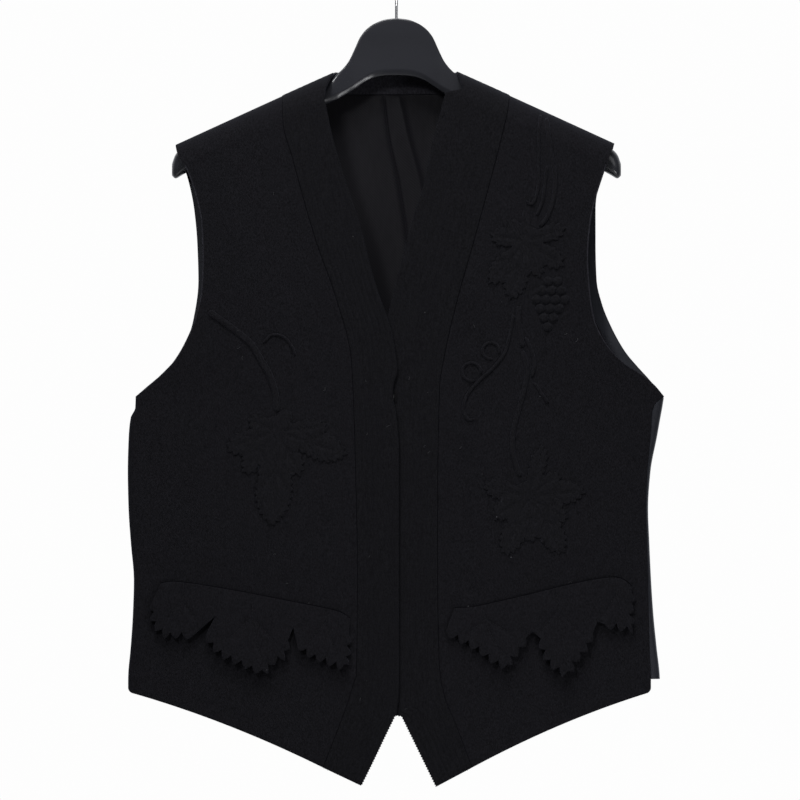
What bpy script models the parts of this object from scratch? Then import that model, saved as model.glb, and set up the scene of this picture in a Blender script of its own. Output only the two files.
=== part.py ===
# A black wool waistcoat with vine applique, hung shut on a moulded hanger.
# +X is the viewer's right, -Y the front and +Z up. The origin is the inside top of the hanger's hook.
# Every size is in millimetres until a mesh is made.

import math

import bmesh
import bpy
import numpy as np
from mathutils import Vector
from mathutils.geometry import delaunay_2d_cdt

MM = 0.001

# Cloth
FRONT_WALL = 2.0
BACK_WALL = 1.6
FACING_WALL = 1.5
LINING_WALL = 1.0
BAND_WALL = 2.1
BAND_PROUD = 0.5
SEAM_GAP = 0.3
LINING_GAP = 0.6

# The shoulder line: a ridge that falls away from the neck on each side
RIDGE_TOP = -84.6
RIDGE_SLOPE = 0.46
RIDGE_NECK_ROUND = 18.0
SHOULDER_ROLL = 24.0
BACK_NECK_Z = -112.0

# The side edge is a soft fold of this radius
FOLD_RADIUS = 5.0

# Half widths of the closed body, and how far the front and the back stand from the middle plane
BODY_ROWS = (
    # z, left, right, front, back
    (-80.0, 345.0, 345.0, 27.0, 23.0),
    (-200.0, 330.0, 330.0, 29.0, 23.0),
    (-300.0, 292.0, 292.0, 29.0, 22.0),
    (-380.0, 258.0, 262.0, 28.0, 21.0),
    (-414.0, 243.0, 249.4, 28.0, 21.0),
    (-425.0, 243.4, 247.5, 28.0, 21.0),
    (-433.0, 247.4, 246.0, 28.0, 21.0),
    (-451.0, 249.4, 242.8, 28.0, 21.0),
    (-484.0, 250.3, 236.6, 27.5, 20.5),
    (-518.0, 249.6, 234.4, 27.0, 20.0),
    (-551.0, 247.4, 235.6, 27.0, 20.0),
    (-585.0, 244.6, 237.2, 26.5, 19.0),
    (-618.0, 245.6, 239.4, 26.0, 18.5),
    (-648.0, 247.6, 242.4, 26.0, 18.0),
    (-677.0, 250.0, 245.4, 26.0, 17.5),
    (-800.0, 250.0, 247.0, 25.0, 16.0),
)

# The bands' ends at the neck: x, and how far below the shoulder line
LEFT_NECK = ((-58.5, 0.0), (-61.5, 3.2), (-66.0, 12.0))
RIGHT_NECK = ((56.0, 0.0), (58.5, 3.2), (62.5, 14.0))

# The edges of the two fronts, each row a point (x, z) of a smooth line
LEFT_V_EDGE = ((-66.5, -140.0), (-60, -172), (-50, -206), (-44, -225), (-36, -249), (-21, -307), (-9, -340))
LEFT_LAP_EDGE = (
    (-9, -340), (-4, -357), (-1, -376), (0.6, -390), (-2.6, -402), (-3.8, -412), (-0.6, -430), (2, -464),
    (2, -685), (0, -707),
)
LEFT_NOTCH = (-2.6, -712.4)
LEFT_TIP = (-33.0, -775.0)
LEFT_BAND_SEAM = (
    (-106, -134), (-105, -160), (-96, -194), (-75, -268), (-56, -322), (-42, -377), (-40, -409), (-37, -513),
    (-36, -566), (-37, -672), (-40, -682), (-47, -704), (-55, -725), (-68, -758.5),
)
LEFT_ARMHOLE = (
    (-205.5, -181), (-204, -187), (-195, -203), (-186, -229), (-181, -255), (-180, -286), (-181, -314),
    (-186, -338), (-195, -361), (-209, -384), (-220, -395), (-234, -407), (-243, -414),
)
RIGHT_V_EDGE = (
    (46, -131.5), (40, -155), (34, -177), (25, -220), (18, -241), (7, -280), (-3, -320), (-8, -340),
)
RIGHT_LAP_EDGE = ((-8, -340), (-6, -365), (-5, -420), (-5, -560), (-5, -709))
RIGHT_TIP = (37.0, -776.0)
RIGHT_NOTCH = (5.0, -710.5)
RIGHT_BAND_SEAM = (
    (105, -133), (103, -149), (99, -167), (85, -221), (68, -283), (58, -318), (44, -378), (40, -404),
    (38, -521), (38, -583), (39, -644), (40, -668), (45, -694), (54, -716), (70, -758.5),
)
RIGHT_ARMHOLE = (
    (203, -179), (200, -186), (193, -206), (184, -235), (180, -255), (178, -286), (180, -317), (184, -342),
    (195, -365), (213, -384), (229, -394), (239, -402), (249.4, -414),
)
# The right side seam lies on the front, a little inside the fold
RIGHT_SIDE_SEAM = (
    (249.4, -414), (241, -421), (238, -429), (237, -445), (235.4, -464), (233.4, -484), (232.2, -518),
    (233.2, -551), (234.2, -585), (234.8, -618), (235.6, -648), (237, -677),
)
LEFT_BACK_ARMHOLE = (
    (-205.5, -181), (-200, -195), (-194, -214), (-189, -239), (-186, -272), (-185, -306), (-190, -344),
    (-201, -372), (-220, -394), (-234, -406), (-243, -414),
)
RIGHT_BACK_ARMHOLE = (
    (203, -179), (200, -192), (193, -206), (189, -216), (186, -239), (186, -272), (187, -306), (192, -328),
    (201, -350), (214, -373), (223, -384), (233, -395), (249.4, -414),
)
SIDE_ROWS_Z = (-414, -421, -429, -445, -464, -484, -518, -551, -585, -618, -648, -677)
FRONT_CORNER_Z = -689.0
FRONT_CORNER_ROUND = 4.0
HEM_BOW = 5.0
HEM_BOW_FROM_Z = -600.0

# The left band laps over the right one by this much more depth
LAP_LIFT = 4.7
LAP_RISE_FROM_X = -37.0
LAP_RISE_TO_X = -11.0

# The bands are quilted in rows
QUILT_ROWS = 8
QUILT_HEIGHT = 0.45

# The pleat inside the back: its soft side and its sharp edge, from under the facing down
PLEAT_ROWS = (
    # z, soft_x, sharp_x, height
    (-131.0, -12.0, 3.0, 2.4),
    (-167.0, -8.0, 11.0, 3.4),
    (-220.0, 3.0, 25.0, 3.4),
    (-300.0, 14.0, 36.0, 2.4),
    (-420.0, 20.0, 42.0, 1.0),
    (-655.0, 24.0, 46.0, 0.4),
)
FACING_ROWS_Z = (-112.3, -115.2, -124.0, -130.6)
FACING_COLUMNS = (-47.5, -42.0, -33.0, -24.0, -8.0, 8.0, 24.0, 33.0, 42.0, 47.5)
FACING_GAP = 1.1
PLEAT_EDGE = 1.3
LINING_TOP_Z = -131.2
LINING_LOW_Z = -655.0
LINING_FROM_ARMHOLE = 12.0
LINING_FROM_FOLD = 16.0
LINING_ROWS = 17
LINING_CROWDING = 1.15
LINING_COLUMNS = (6, 5)

# The rows and columns of the walls
ROLL_TURNS = (0, 30, 60, 90)
FOLD_TURNS = (60, 30, 0)
SETTLE_TURNS = 30
ARMHOLE_STEPS = 9
V_STEPS = 7
FRONT_STEPS = 6
BAND_INNER_STEPS = 4
UNDERARM_FREE_ZS = (-366.0, -392.0)
UNDERARM_SEAM_Z = -400.0
NOTCH_SEAM_Z = -690.0
TAIL_SHARES = (0.08, 0.5, 1.0)
BACK_NECK_COLUMNS = (0.0, 24.0, 42.0, 52.0, 58.0)
BACK_OUTER_STEPS = 4
BACK_ARMHOLE_RIM = (3.6, 2.4, 1.5, 0.7, 0.0)

# Applique
APPLIQUE_GAP = 0.4
APPLIQUE_WALL = 1.2
STRAND_CROWN = 0.5
STRAND_END = 0.6
STRAND_STEP = 7.0
LEAF_GRID = 13.0
GRID_CLEARANCE = 0.42
LEAF_WAIST = 14.0
LEAF_LOBE_FOOT = 12.0
LEAF_LOBE_TAPER = 0.42
LEAF_LOBE_BREADTH = 4.0
LEAF_START_TURN = 90
LEAF_TURN_STEP = 3
LEAF_TOOTH_PITCH = 6.4
LEAF_TOOTH_DEPTH = 2.2
FLAP_TOOTH_PITCH = 10.5
FLAP_TOOTH_DEPTH = 4.6
TOOTH_REACH = 2.0
TOOTH_LEAN = 0.5
TEETH_START = 3.0
TEETH_FULL = 13.0
FLAP_STAND = 4.5
FLAP_DROP = 60.0
FLAP_WALL = 2.0
FLAP_SEAM_STEP = 22.0
GRAPE_SIDES = 8
GRAPE_RADIUS = 4.2
GRAPE_CROWN = 0.75
GRAPE_PITCH = 8.9
GRAPE_RISE = 8.5
GRAPE_HEIGHT = 2.2
GRAPE_ROWS = (2, 3, 4, 3, 2, 1)
BUNCH_TOP = (145.0, -307.0)
BUNCH_LEAN = -1.0

# The leaves: centre, then each lobe's direction in degrees, length and half width in degrees
LEAVES = {
    "leaf_left": ((-111.0, -446.0), ((5, 47, 20), (-19, 68, 24), (-62, 46, 24), (-93, 88, 25), (-128, 50, 24),
                                     (-160, 49, 26), (158, 28, 30), (60, 22, 30))),
    "leaf_upper": ((121.0, -270.0), ((95, 27, 18), (20, 37, 24), (-34, 40, 26), (-70, 35, 24),
                                     (-106, 56, 23), (-132, 52, 24), (170, 34, 28), (130, 26, 22))),
    "leaf_lower": ((122.0, -507.0), ((73, 49, 19), (35, 36, 24), (6, 53, 24), (-30, 42, 24), (-58, 62, 23),
                                     (-86, 42, 22), (-112, 58, 23), (-150, 38, 26), (165, 42, 26))),
}

# The pocket flaps: the seam that each hangs from, the leaves of its lower edge before the teeth, and the slits
LEFT_FLAP_SEAM = ((-219, -588), (-205, -586), (-162, -592), (-98, -604), (-55, -613), (-43, -620))
LEFT_FLAP_LEAVES = (
    ((-226, -604), (-226, -621), (-215, -634.5), (-201, -635), (-189, -637)),
    ((-175.5, -634), (-169, -645), (-158, -654), (-141, -662), (-122.5, -670), (-113, -658.5), (-103, -654),
     (-100.5, -640)),
    ((-92, -642.5), (-79, -653), (-62.5, -659.5), (-47, -664.5), (-43.5, -650), (-44, -635)),
)
LEFT_FLAP_SLITS = ((-167.5, -618), (-95.4, -628))
RIGHT_FLAP_SEAM = ((54, -610), (72, -609), (113, -600), (168, -587), (200, -582), (212, -585), (219, -591))
RIGHT_FLAP_LEAVES = (
    ((46, -631.5), (60.5, -639), (76, -648), (88, -658), (103.5, -665), (107, -655.5), (115, -647.5),
     (119.5, -638)),
    ((133.5, -639), (135.5, -649), (141.5, -660.5), (157.5, -671), (165.5, -659), (175.5, -647.5),
     (181.5, -633.5)),
    ((193, -626), (204, -626.5), (213, -629), (220, -629), (217.5, -614), (221, -606), (218.5, -597)),
)
RIGHT_FLAP_SLITS = ((126, -632), (186, -623))

# Stems, vines and tendrils: width, then points (x, z) of each one's middle line
STRANDS = {
    "stem_left": (6.0, ((-174, -335), (-159, -346), (-137, -363), (-126, -380), (-117, -396), (-112, -414),
                        (-111, -428))),
    "tendril_left": (2.6, ((-123.5, -364), (-116, -357), (-106, -358), (-98, -366), (-94, -376))),
    "stem_outer": (4.0, ((139, -156), (143, -186), (147, -209), (146, -228), (140.5, -246), (133, -256))),
    "stem_inner": (3.0, ((133.5, -153), (132, -172), (132, -200), (131, -222), (126, -235), (120, -233))),
    "stem_middle": (2.8, ((139.5, -200), (138, -214), (135.5, -232), (130, -246))),
    "vine_upper": (5.0, ((113.5, -330), (113, -340), (114, -352), (117, -368))),
    "vine_outer": (3.0, ((119.5, -359), (125.5, -372), (128, -384), (125.5, -396))),
    "vine_lower": (4.6, ((117, -372), (121, -390), (119, -405), (113, -427), (108, -448), (108, -467),
                         (111.5, -480), (115, -488))),
    "vine_branch": (2.8, ((127.5, -401), (133, -409), (141, -420))),
    "tendril_long": (2.8, ((108.3, -338), (105.5, -355), (100, -374), (89, -388), (77, -399), (66, -412),
                           (62, -425), (66, -435), (73, -435))),
}
# Open rings of tendril beside the long one: centre, radius, start and sweep in degrees
CURLS = {
    "tendril_curl_upper": ((87.5, -371.5), 7.6, -20, 300),
    "tendril_curl_lower": ((69.5, -391.0), 8.4, -15, 305),
}
CURL_WIDTH = 2.6
CURL_STEPS = 15

# The hanger: at each distance from its middle, top, lower edge and half thickness
HANGER_ROWS = (
    # x, top, low, half_depth
    (0.0, -62.0, -115.0, 8.0),
    (10.0, -63.2, -115.3, 8.0),
    (20.0, -66.8, -117.2, 8.0),
    (28.0, -72.4, -120.8, 8.0),
    (34.0, -80.0, -124.8, 8.0),
    (39.0, -91.0, -128.2, 8.0),
    (45.0, -103.0, -132.0, 8.4),
    (54.0, -113.0, -137.0, 9.0),
    (66.0, -121.0, -143.0, 9.5),
    (95.0, -133.8, -157.0, 10.5),
    (130.0, -149.6, -173.5, 11.5),
    (165.0, -165.6, -190.0, 12.0),
    (190.0, -177.2, -202.5, 11.6),
    (200.0, -183.0, -208.0, 10.6),
    (206.0, -189.0, -211.0, 8.0),
    (209.0, -197.0, -208.5, 4.0),
)
HANGER_SIDES = 12
HANGER_SQUARE = 0.8
HOOK_WIRE = 2.8
HOOK_INNER_RADIUS = 18.0
HOOK_FIRST_TURN = 205
HOOK_LAST_TURN = -45
HOOK_TURN_STEP = -10
HOOK_NECK = ((7.5, -37.5), (3.2, -42.0), (0.8, -47.0), (0.0, -52.0))
HOOK_SOCKET_DEPTH = 14.0
HOOK_SOCKET_CLEARANCE = 0.35
HOOK_SOCKET_FLOOR = 1.0

# The closure's hook
CLOSURE_WIRE = 0.8
CLOSURE_GAP = 0.4
CLOSURE_Z = -414.5
CLOSURE_BEND = 2.4
CLOSURE_BEND_X = -2.4
CLOSURE_ROOT_X = -13.0

SMOOTH_LOOKS = {
    # name: colour, roughness, metallic
    "wool": ((0.011, 0.011, 0.013, 1), 0.95, 0.0),
    "back cloth": ((0.014, 0.015, 0.019, 1), 0.5, 0.0),
    "twill lining": ((0.018, 0.017, 0.021, 1), 0.55, 0.0),
    "hanger plastic": ((0.035, 0.036, 0.042, 1), 0.35, 0.0),
    "metal": ((0.6, 0.6, 0.6, 1), 0.25, 1.0),
}


# Curves and tables


def through(keys, values, at):
    """The value at a key, on a smooth line through a table's rows that never swings past them."""
    keys, values = np.asarray(keys, float), np.asarray(values, float)
    if keys[0] > keys[-1]:
        keys, values = keys[::-1], values[::-1]
    steps = np.diff(keys)
    slopes = np.diff(values) / steps
    leans = np.zeros(len(keys))
    leans[0], leans[-1] = slopes[0], slopes[-1]
    for i in range(1, len(keys) - 1):
        if slopes[i - 1] * slopes[i] > 0:
            before, after = 2 * steps[i] + steps[i - 1], steps[i] + 2 * steps[i - 1]
            leans[i] = (before + after) / (before / slopes[i - 1] + after / slopes[i])
    at = min(max(at, keys[0]), keys[-1])
    i = min(int(np.searchsorted(keys, at, side="right")) - 1, len(steps) - 1)
    s = (at - keys[i]) / steps[i]
    start, end = values[i], values[i + 1]
    rise_in, rise_out = leans[i] * steps[i], leans[i + 1] * steps[i]
    return (
        start * (1 + 2 * s) * (1 - s) ** 2
        + rise_in * s * (1 - s) ** 2
        + end * s * s * (3 - 2 * s)
        + rise_out * s * s * (s - 1)
    )


def edge_x(edge, z):
    """Where an edge's smooth line crosses a height."""
    return through([point[1] for point in edge], [point[0] for point in edge], z)


def at_heights(edge, heights):
    return [(edge_x(edge, z), z) for z in heights]


def down_edge(edge, start, last, steps):
    """Points at even heights along an edge, after the start."""
    return at_heights(edge, [start + (last - start) * i / steps for i in range(1, steps + 1)])


def flowing(points, spacing):
    """Points on a smooth curve through a strand's points, at about even spacing."""
    ends = [2 * np.array(points[0]) - np.array(points[1]), 2 * np.array(points[-1]) - np.array(points[-2])]
    path = [ends[0]] + [np.array(point, float) for point in points] + [ends[1]]
    found = [path[1]]
    for i in range(1, len(path) - 2):
        a, b, c, d = path[i - 1 : i + 3]
        steps = max(1, round(float(np.linalg.norm(c - b)) / spacing))
        for k in range(1, steps + 1):
            s = k / steps
            bend, swing = 2 * a - 5 * b + 4 * c - d, 3 * b - a - 3 * c + d
            found.append(0.5 * (2 * b + (c - a) * s + bend * s**2 + swing * s**3))
    return found


def blend(x, start, end):
    """0 at start and 1 at end, easing at both."""
    s = min(max((x - start) / (end - start), 0.0), 1.0)
    return s * s * (3 - 2 * s)


def quarter_round(distance, radius):
    """The height of a quarter circle at a distance from its foot, as a share of the radius."""
    return math.sqrt(max(0.0, 1 - (1 - min(max(distance / radius, 0.0), 1.0)) ** 2))


# The garment's surface


def ridge(x):
    """The height of the shoulder line."""
    return RIDGE_TOP - RIDGE_SLOPE * math.hypot(x, RIDGE_NECK_ROUND)


def body(z):
    """Half widths left and right, and depths front and back, at a height."""
    heights = [row[0] for row in BODY_ROWS]
    return [through(heights, [row[k] for row in BODY_ROWS], z) for k in (1, 2, 3, 4)]


def cloth_y(x, z, face, lap=False):
    """The garment's outer surface: face is -1 for the front and 1 for the back."""
    left, right, front, back = body(z)
    width = left if x < 0 else right
    depth = front if face < 0 else back
    fold = FOLD_RADIUS * quarter_round(width - abs(x), FOLD_RADIUS)
    bulge = (depth - FOLD_RADIUS) * max(1 - (x / width) ** 2, 0.0)
    y = face * ((fold + bulge) * quarter_round(ridge(x) - z, SHOULDER_ROLL) + SEAM_GAP / 2)
    if lap:
        y -= LAP_LIFT * blend(x, LAP_RISE_FROM_X, LAP_RISE_TO_X)
    return y


def cloth_point(x, z, face, out=0.0, lap=False):
    """A point of the garment's surface, moved out along the surface's own direction."""
    step = 0.001
    dx = -step if x > 0 else step
    y = cloth_y(x, z, face, lap)
    lean_x = (cloth_y(x + dx, z, face, lap) - y) / dx
    lean_z = (cloth_y(x, z - step, face, lap) - y) / -step
    facing = Vector((-face * lean_x, face, -face * lean_z)).normalized()
    return Vector((x, y, z)) + facing * out


# Meshes


def new_object(name, mesh, look):
    mesh.shade_smooth()
    mesh.set_sharp_from_angle(angle=math.radians(50))
    piece = bpy.data.objects.new(name, mesh)
    PARTS.objects.link(piece)
    mesh.materials.append(LOOKS[look])
    return piece


def finish(name, build, look):
    """Turns a closed bmesh in millimetres into an object in metres."""
    bmesh.ops.scale(build, vec=(MM, MM, MM), verts=build.verts)
    bmesh.ops.recalc_face_normals(build, faces=build.faces)
    mesh = bpy.data.meshes.new(name)
    build.to_mesh(mesh)
    build.free()
    return new_object(name, mesh, look)


def wall(name, outer, inner, look):
    """A cloth wall between two sheets of points, rows by columns, closed at its rim.

    The inner sheet may have fewer columns: each inner step then spans the same number of outer ones.
    """
    build = bmesh.new()
    top = [[build.verts.new(point) for point in row] for row in outer]
    low = [[build.verts.new(point) for point in row] for row in inner]
    for sheet in (top, low):
        for upper, lower in zip(sheet, sheet[1:]):
            for k in range(len(upper) - 1):
                build.faces.new((upper[k], upper[k + 1], lower[k + 1], lower[k]))
    for k in (0, -1):
        for j in range(len(top) - 1):
            build.faces.new((top[j][k], top[j + 1][k], low[j + 1][k], low[j][k]))
    span = (len(top[0]) - 1) // (len(low[0]) - 1)
    for j in (0, -1):
        for k in range(len(low[0]) - 1):
            edge = top[j][k * span : (k + 1) * span + 1]
            if span == 1:
                build.faces.new((edge[0], edge[1], low[j][k + 1], low[j][k]))
                continue
            middle = span // 2
            for i in range(span):
                foot = low[j][k] if i < middle else low[j][k + 1]
                build.faces.new((foot, edge[i], edge[i + 1]))
            build.faces.new((low[j][k], edge[middle], low[j][k + 1]))
    return finish(name, build, look)


def thickened(name, build, thickness, look):
    """An open sheet in millimetres that a Solidify modifier makes a wall, on the side it faces."""
    bmesh.ops.scale(build, vec=(MM, MM, MM), verts=build.verts)
    mesh = bpy.data.meshes.new(name)
    build.to_mesh(mesh)
    build.free()
    piece = new_object(name, mesh, look)
    solid = piece.modifiers.new("Wall", "SOLIDIFY")
    solid.thickness = thickness * MM
    solid.offset = 1
    return piece


# The fronts


def turned(radius, turn):
    """How far in from its rim a quarter circle has come after a turn in degrees."""
    return radius * (1 - math.cos(math.radians(turn)))


def roll_points(edge):
    """The shoulder's roll along an edge: points at even turns of its quarter circle."""
    points = []
    for turn in ROLL_TURNS:
        z = edge[0][1]
        for _ in range(SETTLE_TURNS):
            x = edge_x(edge, z)
            z = ridge(x) - turned(SHOULDER_ROLL, turn)
        points.append((x, z))
    return points


def side_heights(first, last):
    """Heights between two ends, in step with the rows down the side."""
    top, low = SIDE_ROWS_Z[0], SIDE_ROWS_Z[-1]
    return [first + (last - first) * (z - top) / (low - top) for z in SIDE_ROWS_Z[1:]]


def free_edge(neck, v_edge, lap_edge, notch, tip):
    """The band's free edge: neck, V, lap and the slanted end below the notch."""
    points = [(x, ridge(x) - drop) for x, drop in neck]
    points.append(v_edge[0])
    points += down_edge(v_edge, v_edge[0][1], v_edge[-1][1], V_STEPS)
    points += at_heights(lap_edge, UNDERARM_FREE_ZS)
    points += at_heights(lap_edge, side_heights(UNDERARM_FREE_ZS[-1], lap_edge[-1][1]))
    middle = ((notch[0] + tip[0]) / 2, (notch[1] + tip[1]) / 2)
    return points + [notch, middle, tip]


def seam_edge(edge):
    """The seam between band and front, row for row beside the free edge."""
    points = roll_points(edge)
    points += down_edge(edge, points[-1][1], UNDERARM_SEAM_Z, ARMHOLE_STEPS)
    points += at_heights(edge, side_heights(UNDERARM_SEAM_Z, NOTCH_SEAM_Z))
    tail = edge[-1][1] - NOTCH_SEAM_Z
    return points + at_heights(edge, [NOTCH_SEAM_Z + tail * share for share in TAIL_SHARES])


def outer_edge(armhole, side):
    """Armhole and side, row for row beside the seam."""
    points = roll_points(armhole)
    points += down_edge(armhole, points[-1][1], armhole[-1][1], ARMHOLE_STEPS)
    points += [(side(z), z) for z in SIDE_ROWS_Z[1:]]
    slit_z = SIDE_ROWS_Z[-1]
    return points + [(side(slit_z), slit_z + (FRONT_CORNER_Z - slit_z) * share) for share in TAIL_SHARES]


def front_columns(width):
    """Distances from the band's seam to the outer edge, close together over the side's fold."""
    first, last = SEAM_GAP / 2, width - FOLD_RADIUS
    main = [first + (last - first) * k / FRONT_STEPS for k in range(FRONT_STEPS + 1)]
    return main + [width - turned(FOLD_RADIUS, turn) for turn in FOLD_TURNS]


def front_panel(name, seam, outer, side, outer_gap):
    """One front, from the band's seam to the armhole and the side."""
    rows = []
    for j, ((seam_x, seam_z), (out_x, out_z)) in enumerate(zip(seam, outer)):
        width = abs(out_x - seam_x) - outer_gap
        row = []
        for distance in front_columns(width):
            share = distance / abs(out_x - seam_x)
            z = seam_z + (out_z - seam_z) * share
            bow = HEM_BOW * 4 * share * (1 - share) * blend(-z, -HEM_BOW_FROM_Z, -FRONT_CORNER_Z)
            if j == len(seam) - 1:
                rim = max(FRONT_CORNER_ROUND - (width - distance), 0.0)
                bow += FRONT_CORNER_ROUND - math.sqrt(FRONT_CORNER_ROUND**2 - rim**2)
            row.append((seam_x + side * distance, z + bow))
        rows.append(row)
    outside = [[cloth_point(x, z, -1) for x, z in row] for row in rows]
    inside = [[cloth_point(x, z, -1, -FRONT_WALL) for x, z in row] for row in rows]
    return wall(name, outside, inside, "wool")


def band(name, free, seam, lap):
    """One front band, quilted in rows that run along it."""
    columns = 2 * QUILT_ROWS
    heights = [BAND_PROUD + QUILT_HEIGHT * (k % 2) for k in range(columns + 1)]
    outside, inside = [], []
    for (free_x, free_z), (seam_x, seam_z) in zip(free, seam):
        last = 1 - SEAM_GAP / 2 / abs(seam_x - free_x)

        def at(share, out):
            x = free_x + (seam_x - free_x) * share * last
            z = free_z + (seam_z - free_z) * share * last
            return cloth_point(x, z, -1, out, lap)

        outside.append([at(k / columns, height) for k, height in enumerate(heights)])
        inside.append([at(k / BAND_INNER_STEPS, -BAND_WALL) for k in range(BAND_INNER_STEPS + 1)])
    return wall(name, outside, inside, "wool")


def build_fronts():
    left_free = free_edge(LEFT_NECK, LEFT_V_EDGE, LEFT_LAP_EDGE, LEFT_NOTCH, LEFT_TIP)
    right_free = free_edge(RIGHT_NECK, RIGHT_V_EDGE, RIGHT_LAP_EDGE, RIGHT_NOTCH, RIGHT_TIP)
    left_seam, right_seam = seam_edge(LEFT_BAND_SEAM), seam_edge(RIGHT_BAND_SEAM)
    left_outer = outer_edge(LEFT_ARMHOLE, lambda z: -body(z)[0])
    right_outer = outer_edge(RIGHT_ARMHOLE, lambda z: edge_x(RIGHT_SIDE_SEAM, z))
    band("band_left", left_free, left_seam, True)
    band("band_right", right_free, right_seam, False)
    front_panel("front_left", left_seam, left_outer, -1, 0.0)
    front_panel("front_right", right_seam, right_outer, 1, SEAM_GAP / 2)


# The back


def back_top(x):
    """The back's upper edge: the shoulder line, cut level behind the neck."""
    return min(ridge(x), BACK_NECK_Z)


def armhole_rows():
    """The back's rows down to the underarm, each as a function of x that gives its height."""
    rows = []
    for turn in ROLL_TURNS:
        rows.append(lambda x, drop=turned(SHOULDER_ROLL, turn): back_top(x) - drop)
    underarm = SIDE_ROWS_Z[0]
    for k in range(1, ARMHOLE_STEPS + 1):
        share = k / ARMHOLE_STEPS
        rows.append(lambda x, s=share: (back_top(x) - SHOULDER_ROLL) * (1 - s) + underarm * s)
    return rows


def edge_on_row(armhole, row):
    z = row(armhole[0][0])
    for _ in range(SETTLE_TURNS):
        x = edge_x(armhole, z)
        z = row(x)
    return x


def back_columns(left, right):
    """Columns across the back, from its left rim to where its right one starts, closer at the neck."""
    neck = [-x for x in BACK_NECK_COLUMNS[:0:-1]] + list(BACK_NECK_COLUMNS)
    first, last = left + FOLD_RADIUS, right - FOLD_RADIUS
    rim = [left + turned(FOLD_RADIUS, turn) for turn in FOLD_TURNS[::-1]]
    before = [first + (neck[0] - first) * k / BACK_OUTER_STEPS for k in range(BACK_OUTER_STEPS)]
    after = [neck[-1] + (last - neck[-1]) * k / BACK_OUTER_STEPS for k in range(1, BACK_OUTER_STEPS + 1)]
    return rim + before + neck + after


def row_beside_armholes(row):
    """A row's points: x, z and the face it lies on."""
    left, right = edge_on_row(LEFT_BACK_ARMHOLE, row), edge_on_row(RIGHT_BACK_ARMHOLE, row)
    spots = back_columns(left, right) + [right - inset for inset in BACK_ARMHOLE_RIM]
    return [(x, row(x), 1) for x in spots]


def row_round_the_fold(z):
    """A row's points below the arm, where the back turns round the right fold to the seam on the front."""
    left, right = -body(z)[0], body(z)[1]
    points = [(x, z, 1) for x in back_columns(left, right)]
    points += [(right - turned(FOLD_RADIUS, turn), z, 1) for turn in FOLD_TURNS]
    seam = edge_x(RIGHT_SIDE_SEAM, z) + SEAM_GAP / 2
    seam_turn = math.degrees(math.acos(max(1 - (right - seam) / FOLD_RADIUS, 0.0)))
    between = min(seam_turn / 2, FOLD_TURNS[0])
    return points + [(right - turned(FOLD_RADIUS, between), z, -1), (seam, z, -1)]


def build_back():
    rows = [row_beside_armholes(row) for row in armhole_rows()]
    rows += [row_round_the_fold(float(z)) for z in SIDE_ROWS_Z[1:]]
    outside = [[cloth_point(x, z, face) for x, z, face in row] for row in rows]
    inside = [[cloth_point(x, z, face, -BACK_WALL) for x, z, face in row] for row in rows]
    return wall("back", outside, inside, "back cloth")


def build_neck_facing():
    """A strip of wool inside the back neck."""
    outside, inside = [], []
    for z in FACING_ROWS_Z:
        shell, cover = [], []
        for x in FACING_COLUMNS:
            shell.append(cloth_point(x, z, 1, -BACK_WALL - FACING_GAP))
            cover.append(cloth_point(x, z, 1, -BACK_WALL - FACING_GAP - FACING_WALL))
        outside.append(shell)
        inside.append(cover)
    return wall("neck_facing", outside, inside, "wool")


def pleat_lines(z):
    """The pleat's soft side, sharp edge and height at a height of the lining."""
    heights = [row[0] for row in PLEAT_ROWS]
    return [through(heights, [row[k] for row in PLEAT_ROWS], z) for k in (1, 2, 3)]


def lining_height(x, share):
    """The height of one of the lining's rows, the highest of which follows the shoulders."""
    top = min(LINING_TOP_Z, ridge(x) - SHOULDER_ROLL)
    return top + (LINING_LOW_Z - top) * share


def lining_edge(side, share):
    """Where one of the lining's rows ends, inside the armhole or the fold."""
    armhole = LEFT_BACK_ARMHOLE if side < 0 else RIGHT_BACK_ARMHOLE
    reach = abs(armhole[0][0]) - LINING_FROM_ARMHOLE
    for _ in range(SETTLE_TURNS):
        z = lining_height(reach, share)
        if z > SIDE_ROWS_Z[0]:
            reach = abs(edge_x(armhole, z)) - LINING_FROM_ARMHOLE
        else:
            reach = body(z)[0 if side < 0 else 1] - LINING_FROM_FOLD
    return side * reach


def build_back_lining():
    """The lining inside the back, with the centre pleat raised in it."""
    outside, inside = [], []
    left_steps, right_steps = LINING_COLUMNS
    for j in range(LINING_ROWS + 1):
        share = (j / LINING_ROWS) ** LINING_CROWDING
        soft, sharp, height = pleat_lines(lining_height(0.0, share))
        crest, foot = sharp - PLEAT_EDGE / 2, sharp + PLEAT_EDGE / 2
        left, right = lining_edge(-1, share), lining_edge(1, share)
        spots = [left + (soft - left) * k / left_steps for k in range(left_steps)]
        spots += [soft, (soft + crest) / 2, crest, foot]
        spots += [foot + (right - foot) * k / right_steps for k in range(1, right_steps + 1)]
        shell, cover = [], []
        for x in spots:
            z = lining_height(x, share)
            raised = height * blend(x, soft, crest) if x <= crest else 0.0
            depth = BACK_WALL + LINING_GAP + raised
            shell.append(cloth_point(x, z, 1, -depth))
            cover.append(cloth_point(x, z, 1, -depth - LINING_WALL))
        outside.append(shell)
        inside.append(cover)
    return wall("back_lining", outside, inside, "twill lining")


# Applique and flaps


def inside_outline(outline, x, z):
    """Whether a point is inside a closed outline."""
    found = False
    for (x1, z1), (x2, z2) in zip(outline, outline[1:] + outline[:1]):
        if (z1 > z) != (z2 > z) and x < x1 + (z - z1) / (z2 - z1) * (x2 - x1):
            found = not found
    return found


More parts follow.
